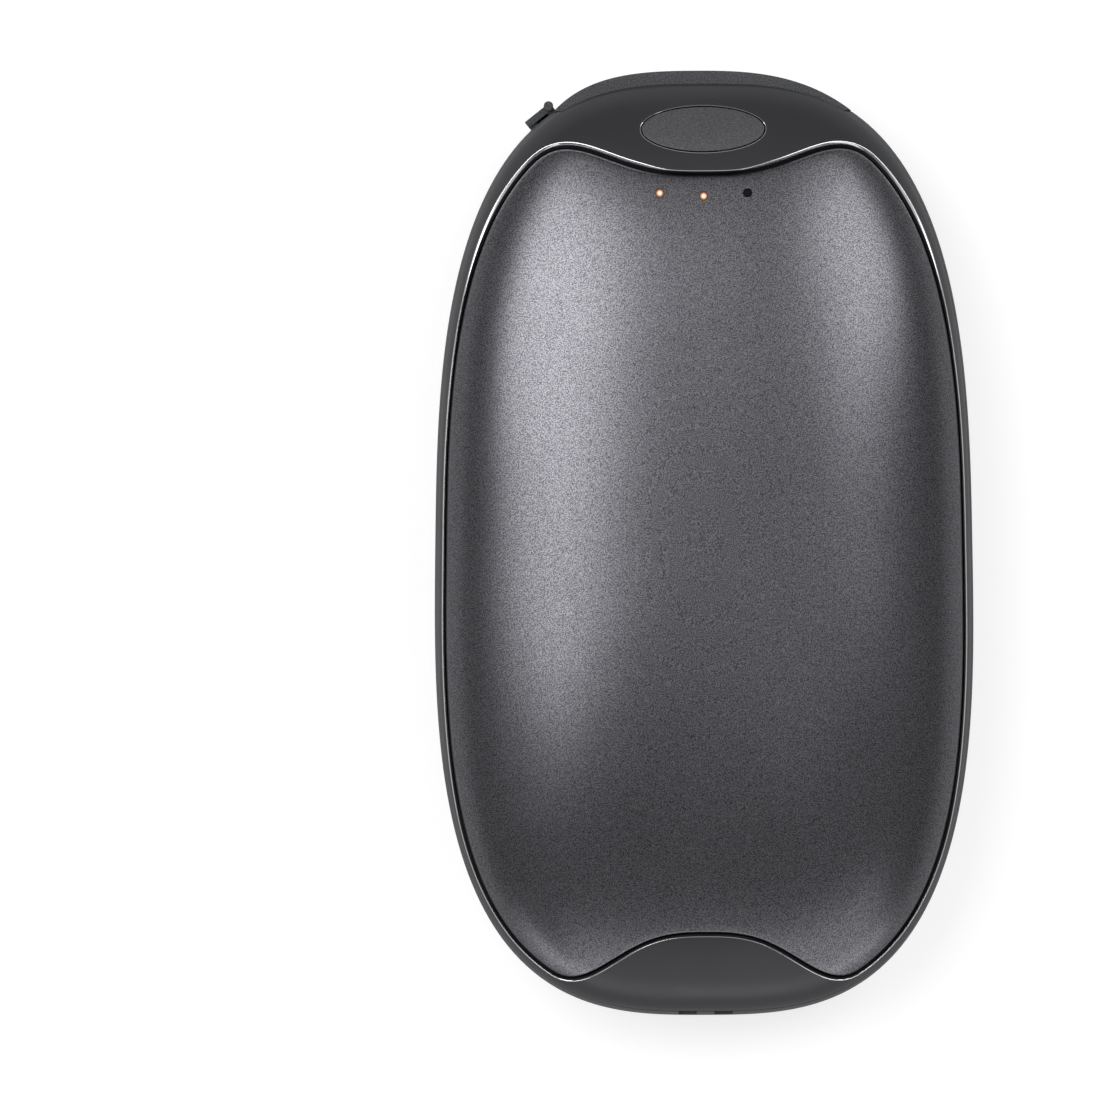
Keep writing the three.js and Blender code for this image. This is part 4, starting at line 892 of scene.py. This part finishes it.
finish_piece(mid_housing(), shell_plastic, "body", "housing", "mid_housing")
finish_piece(cover_anchor(), rubber, "body", "rubber", "cover_anchor")


# Port cover

def body_edge(x):
    """How far out the body's upper end reaches at x."""
    y = np.linspace(0, HALF_LENGTH, 4001)
    along = (y / HALF_LENGTH) ** OUTLINE_POWER
    wide = HALF_WIDTH * (1 - TAPER * y / HALF_LENGTH) * np.maximum(1 - along, 0) ** (1 / OUTLINE_POWER)
    return np.interp(-np.abs(x), -wide, y)


def cover_plan(shrink, steps=72):
    """The cover from above, drawn in by shrink: a flat back and a crowned front."""
    (left, *_), (right, *_) = FLAP_ENDS
    x = np.linspace(right - shrink, left + shrink, steps)
    rise = np.zeros(steps)
    for end_x, end, power in FLAP_ENDS:
        share = np.clip(x / end_x, 0, 1)
        rise = np.where(share > 0, end + (FLAP_STANDOFF - end) * (1 - share ** power), rise)
    back_y = PORT_FLOOR + FLAP_SEAT
    front = np.stack([x, np.maximum(body_edge(x) + rise - shrink, back_y + FLAP_LEAST)], 1)
    back = np.stack([x[::-1], np.full(steps, back_y)], 1)
    return np.concatenate([front, back])


def port_cover():
    """A rubber flap with rolled edges, hollowed at the back round its two plugs."""
    bottom, top = RECESS_BOTTOM + GAP, SPLIT - GAP
    rings = []
    for turn in np.linspace(0, np.pi / 2, 6):
        rise = FLAP_ROLL * (1 - np.cos(turn))
        rings.append(at(cover_plan(FLAP_ROLL * (1 - np.sin(turn))), bottom + rise))
    for turn in np.linspace(np.pi / 2, 0, 6):
        fall = FLAP_ROLL * (1 - np.cos(turn))
        rings.append(at(cover_plan(FLAP_ROLL * (1 - np.sin(turn))), top - fall))
    cover = loft("port_cover_flap", rings)
    low = (-HOLLOW_HALF_WIDTH, PORT_FLOOR - OVERRUN, bottom + HOLLOW_WALL)
    high = (HOLLOW_HALF_WIDTH, PORT_FLOOR + HOLLOW_DEPTH, top - HOLLOW_WALL)
    carve(cover, box("hollow", low, high))
    plugs = []
    for name, left, right, plug_top in PLUGS:
        low = (left, PORT_FLOOR - PLUG_TIP, PLUG_BOTTOM)
        plugs.append(box(name, low, (right, PORT_FLOOR + PLUG_ROOT, plug_top)))
    return carve(cover, *plugs, operation="UNION")


finish_piece(port_cover(), rubber, "cover", "rubber", "port_cover")


# Rear cover

def ribbon(x, long):
    """A wavy strip in plan, pointed at both ends."""
    share = np.linspace(0.0, 1.0, 60)
    y = RIBBON_Y + long * (share - 0.5)
    swell = RIBBON_WIDTH / 2 * np.sqrt(np.clip(np.sin(np.pi * share), 0, 1))
    swing = x + RIBBON_SWING * np.sin(2 * np.pi * y / RIBBON_WAVE)
    right = np.stack([swing + swell, y], 1)
    left = np.stack([swing - swell, y], 1)[1:-1][::-1]
    return np.concatenate([right, left])


def notch_plan(back, spare=0.0):
    """The flared notch at the upper end, from above; spare is its clearance to each side."""
    half = NOTCH_HALF_WIDTH + spare
    wide = half + NOTCH_FLARE
    return np.array([[half, back], [wide, HALF_LENGTH], [-wide, HALF_LENGTH], [-half, back]])


def rear_cover():
    """A flat cover with a rounded edge and a raised pad, notched at the upper end."""
    side, end = REAR_SIDE_INSET + GAP, REAR_END_INSET + GAP
    rings = [at(body_outline(side + REAR_FLAT, end + REAR_FLAT), REAR_INSIDE)]
    rings.append(at(body_outline(side, end), REAR_INSIDE))
    for inset, height in REAR_EDGE:
        rings.append(at(body_outline(side + inset, end + inset), REAR_FACE + height))
    rings.append(at(body_outline(PAD_SIDE_INSET - PAD_FOOT, PAD_END_INSET - PAD_FOOT), REAR_FACE))
    for turn in np.linspace(0, np.pi / 2, 5):
        inset = PAD_ROLL * (1 - np.cos(turn))
        ring = body_outline(PAD_SIDE_INSET + inset, PAD_END_INSET + inset)
        rings.append(at(ring, PAD_ROLL * (1 - np.sin(turn))))
    pad_edge = body_outline(PAD_SIDE_INSET, PAD_END_INSET)
    for share in (0.8, 0.5, 0.2, 0.02):
        rings.append(at(pad_edge * share, 0))
    cover = loft("rear_cover_shell", rings)
    places = (np.arange(len(RIBBON_LENGTHS)) - len(RIBBON_LENGTHS) // 2) * RIBBON_PITCH
    ribbons = [
        prism(f"ribbon_{index}", ribbon(x, long), -OVERRUN, RIBBON_DEPTH)
        for index, (x, long) in enumerate(zip(places, RIBBON_LENGTHS))
    ]
    return carve(cover, *ribbons, rear_notch())


def rear_notch():
    """The cutter of the cover's notch, which follows the outline at its back."""
    plan = notch_plan(HALF_LENGTH - REAR_END_INSET - NOTCH_DEPTH * 2 - GAP, GAP)
    sector = prism("sector", plan, -OVERRUN, REAR_INSIDE + OVERRUN)
    inset = NOTCH_DEPTH + GAP
    keep_plan = body_outline(REAR_SIDE_INSET + inset, REAR_END_INSET + inset)
    keep = prism("keep", keep_plan, -2 * OVERRUN, REAR_INSIDE + 2 * OVERRUN)
    return carve(sector, keep)


finish_piece(rear_cover(), cover_plastic, "body", "rear_cover", "rear_cover")


# The band of the housing that fills the rear cover's notch

def notch_band():
    """A bar between two outlines, as wide as the notch."""
    plan = notch_plan(HALF_LENGTH - REAR_END_INSET - NOTCH_DEPTH * 2)
    top = REAR_INSIDE + GAP
    band = prism("rear_end_band", plan, RIM, top)
    outer_plan = body_outline(REAR_SIDE_INSET - NOTCH_LAP, REAR_END_INSET - NOTCH_LAP)
    carve(band, prism("outer", outer_plan, RIM - OVERRUN, top + OVERRUN), operation="INTERSECT")
    inner_plan = body_outline(REAR_SIDE_INSET + NOTCH_DEPTH, REAR_END_INSET + NOTCH_DEPTH)
    return carve(band, prism("inner", inner_plan, RIM - OVERRUN, top + OVERRUN))


finish_piece(notch_band(), shell_plastic, "body", "housing")


# Gold contacts on the socket tongues

def contacts(name, centre, face, pitch, count, width, back, front, inside, outside):
    """Gold strips on the lower face of a tongue, let into it and standing a little proud."""
    strips = []
    for index in range(count):
        x = centre + (index - (count - 1) / 2) * pitch
        low = (x - width / 2, back, face - outside)
        strips.append(box(f"{name}_{index}", low, (x + width / 2, front, face + inside)))
    return carve(*strips, operation="UNION")


usb_a_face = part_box("usb_a_tongue")[0].z / MM
usb_c_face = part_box("usb_c_tongue")[0].z / MM
contact_a = contacts("usb_a_contacts", USB_A[0], usb_a_face, *USB_A_CONTACTS)
finish_piece(contact_a, gold, "body", "port_steel")
contact_c = contacts("usb_c_contacts", USB_C[0], usb_c_face, *USB_C_CONTACTS)
finish_piece(contact_c, gold, "body", "port_steel")


# CAD nodes that keep their shape

KEPT = {
    "heater_film": polyimide,
    "foam_pad": foam,
    "battery_cell": foil,
    "battery_bracket": frame_plastic,
    "battery_lead_red": red_silicone,
    "battery_lead_black": black_silicone,
    "heater_lead_left": red_silicone,
    "heater_lead_right": red_silicone,
    "main_board": solder_mask,
    "upper_board": solder_mask,
    "controller_chip": chip_plastic,
    "boost_inductor": ferrite,
    "board_header": tongue_plastic,
    "usb_a_shell": nickel,
    "usb_c_shell": nickel,
    "usb_a_tongue": tongue_plastic,
    "usb_c_tongue": tongue_plastic,
    "switch_body": chip_plastic,
    "switch_plunger": cap_plastic,
    "light_shroud": frame_plastic,
}
for number in (1, 2, 3, 4):
    KEPT[f"magnet_{number}"] = magnet_plate
    KEPT[f"bezel_screw_{number}"] = zinc
for side, centre, lit in zip(("left", "middle", "right"), LIGHTS, (True, True, False)):
    guide = light_material(f"light_{side}", centre, lit)
    KEPT[f"indicator_pipe_{side}"] = guide
    KEPT[f"indicator_led_{side}"] = guide
for node, made in KEPT.items():
    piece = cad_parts[node]
    piece.data.materials.clear()
    piece.data.materials.append(made)


# Floor, light and camera

def floor():
    """Pale paper that keeps the shadow, seen nearly white and mirrored only faintly."""
    corners = FLOOR_HALF * np.array([[-1, -1], [1, -1], [1, 1], [-1, 1]])
    sheet = to_mesh("studio_floor", at(corners, -FLOOR_GAP), [[0, 1, 2, 3]])
    made = material("floor_paper", (FLOOR_GREY, FLOOR_GREY, FLOOR_GREY), 0.9, specular=0.1)
    vary(made, "Roughness", place_noise(made, 2.0), 0.85, 0.95)
    nodes, links = made.node_tree.nodes, made.node_tree.links
    path = nodes.new("ShaderNodeLightPath")
    shine = nodes.new("ShaderNodeEmission")
    shine.inputs["Color"].default_value = (1, 1, 1, 1)
    mirrored = nodes.new("ShaderNodeMath")
    mirrored.operation = "MULTIPLY"
    mirrored.inputs[1].default_value = FLOOR_MIRRORED
    seen = nodes.new("ShaderNodeMath")
    seen.operation = "MULTIPLY_ADD"
    seen.inputs[1].default_value = FLOOR_SEEN
    total = nodes.new("ShaderNodeAddShader")
    links.new(path.outputs["Is Glossy Ray"], mirrored.inputs[0])
    links.new(path.outputs["Is Camera Ray"], seen.inputs[0])
    links.new(mirrored.outputs["Value"], seen.inputs[2])
    links.new(seen.outputs["Value"], shine.inputs["Strength"])
    links.new(nodes["Principled BSDF"].outputs["BSDF"], total.inputs[0])
    links.new(shine.outputs["Emission"], total.inputs[1])
    links.new(total.outputs["Shader"], nodes["Material Output"].inputs["Surface"])
    sheet.data.materials.append(made)


def softbox(name, tilt, azimuth, width, height, radiance):
    """A soft panel a metre away that faces the part; its power follows from its brightness."""
    lamp = bpy.data.lights.new(name, "AREA")
    lamp.shape = "RECTANGLE"
    lamp.size = width
    lamp.size_y = height
    lamp.energy = radiance * math.pi * width * height
    panel = bpy.data.objects.new(name, lamp)
    lean = Matrix.Rotation(math.radians(tilt), 3, "Y")
    turn = Matrix.Rotation(math.radians(azimuth), 3, "Z")
    away = turn @ lean @ Vector((0, 0, 1))
    panel.location = away
    panel.rotation_euler = away.to_track_quat("Z", "Y").to_euler()
    bpy.context.scene.collection.objects.link(panel)


def world_light():
    """Dim light from all round, behind a background that the camera sees white."""
    world = bpy.data.worlds.new("studio")
    world.use_nodes = True
    nodes, links = world.node_tree.nodes, world.node_tree.links
    path = nodes.new("ShaderNodeLightPath")
    mix = nodes.new("ShaderNodeMixRGB")
    mix.inputs[1].default_value = (*ROOM_LIGHT, 1)
    mix.inputs[2].default_value = (1, 1, 1, 1)
    links.new(path.outputs["Is Camera Ray"], mix.inputs[0])
    links.new(mix.outputs["Color"], nodes["Background"].inputs["Color"])
    bpy.context.scene.world = world


def camera():
    """Straight down on the dome, at the photograph's scale, roll and place in its frame."""
    middle = PICTURE_PIXELS / 2
    offset = Vector((ORIGIN_PIXEL.x - middle, middle - ORIGIN_PIXEL.y)) / PIXELS_PER_MM
    spot = Matrix.Rotation(-CAMERA_ROLL, 2) @ -offset
    lens = bpy.data.cameras.new("camera")
    lens.sensor_width = SENSOR_WIDTH
    lens.lens = SENSOR_WIDTH * CAMERA_DISTANCE / (PICTURE_PIXELS / PIXELS_PER_MM)
    lens.clip_end = CAMERA_SIGHT_METRES
    view = bpy.data.objects.new("camera", lens)
    view.location = Vector((spot.x, spot.y, GIRTH + CAMERA_DISTANCE)) * MM
    view.rotation_euler = (0, 0, -CAMERA_ROLL)
    bpy.context.scene.collection.objects.link(view)
    bpy.context.scene.camera = view


floor()
softbox("key_left", tilt=38, azimuth=150, width=0.75, height=0.75, radiance=4.0)
softbox("key_right", tilt=46, azimuth=36, width=0.6, height=0.6, radiance=3.0)
softbox("top_fill", tilt=10, azimuth=60, width=0.9, height=0.7, radiance=0.4)
softbox("low_fill", tilt=60, azimuth=280, width=1.4, height=0.45, radiance=1.0)
softbox("end_strip", tilt=84, azimuth=270, width=2.2, height=0.3, radiance=2.2)
world_light()
camera()
bpy.context.scene.view_settings.view_transform = "Standard"
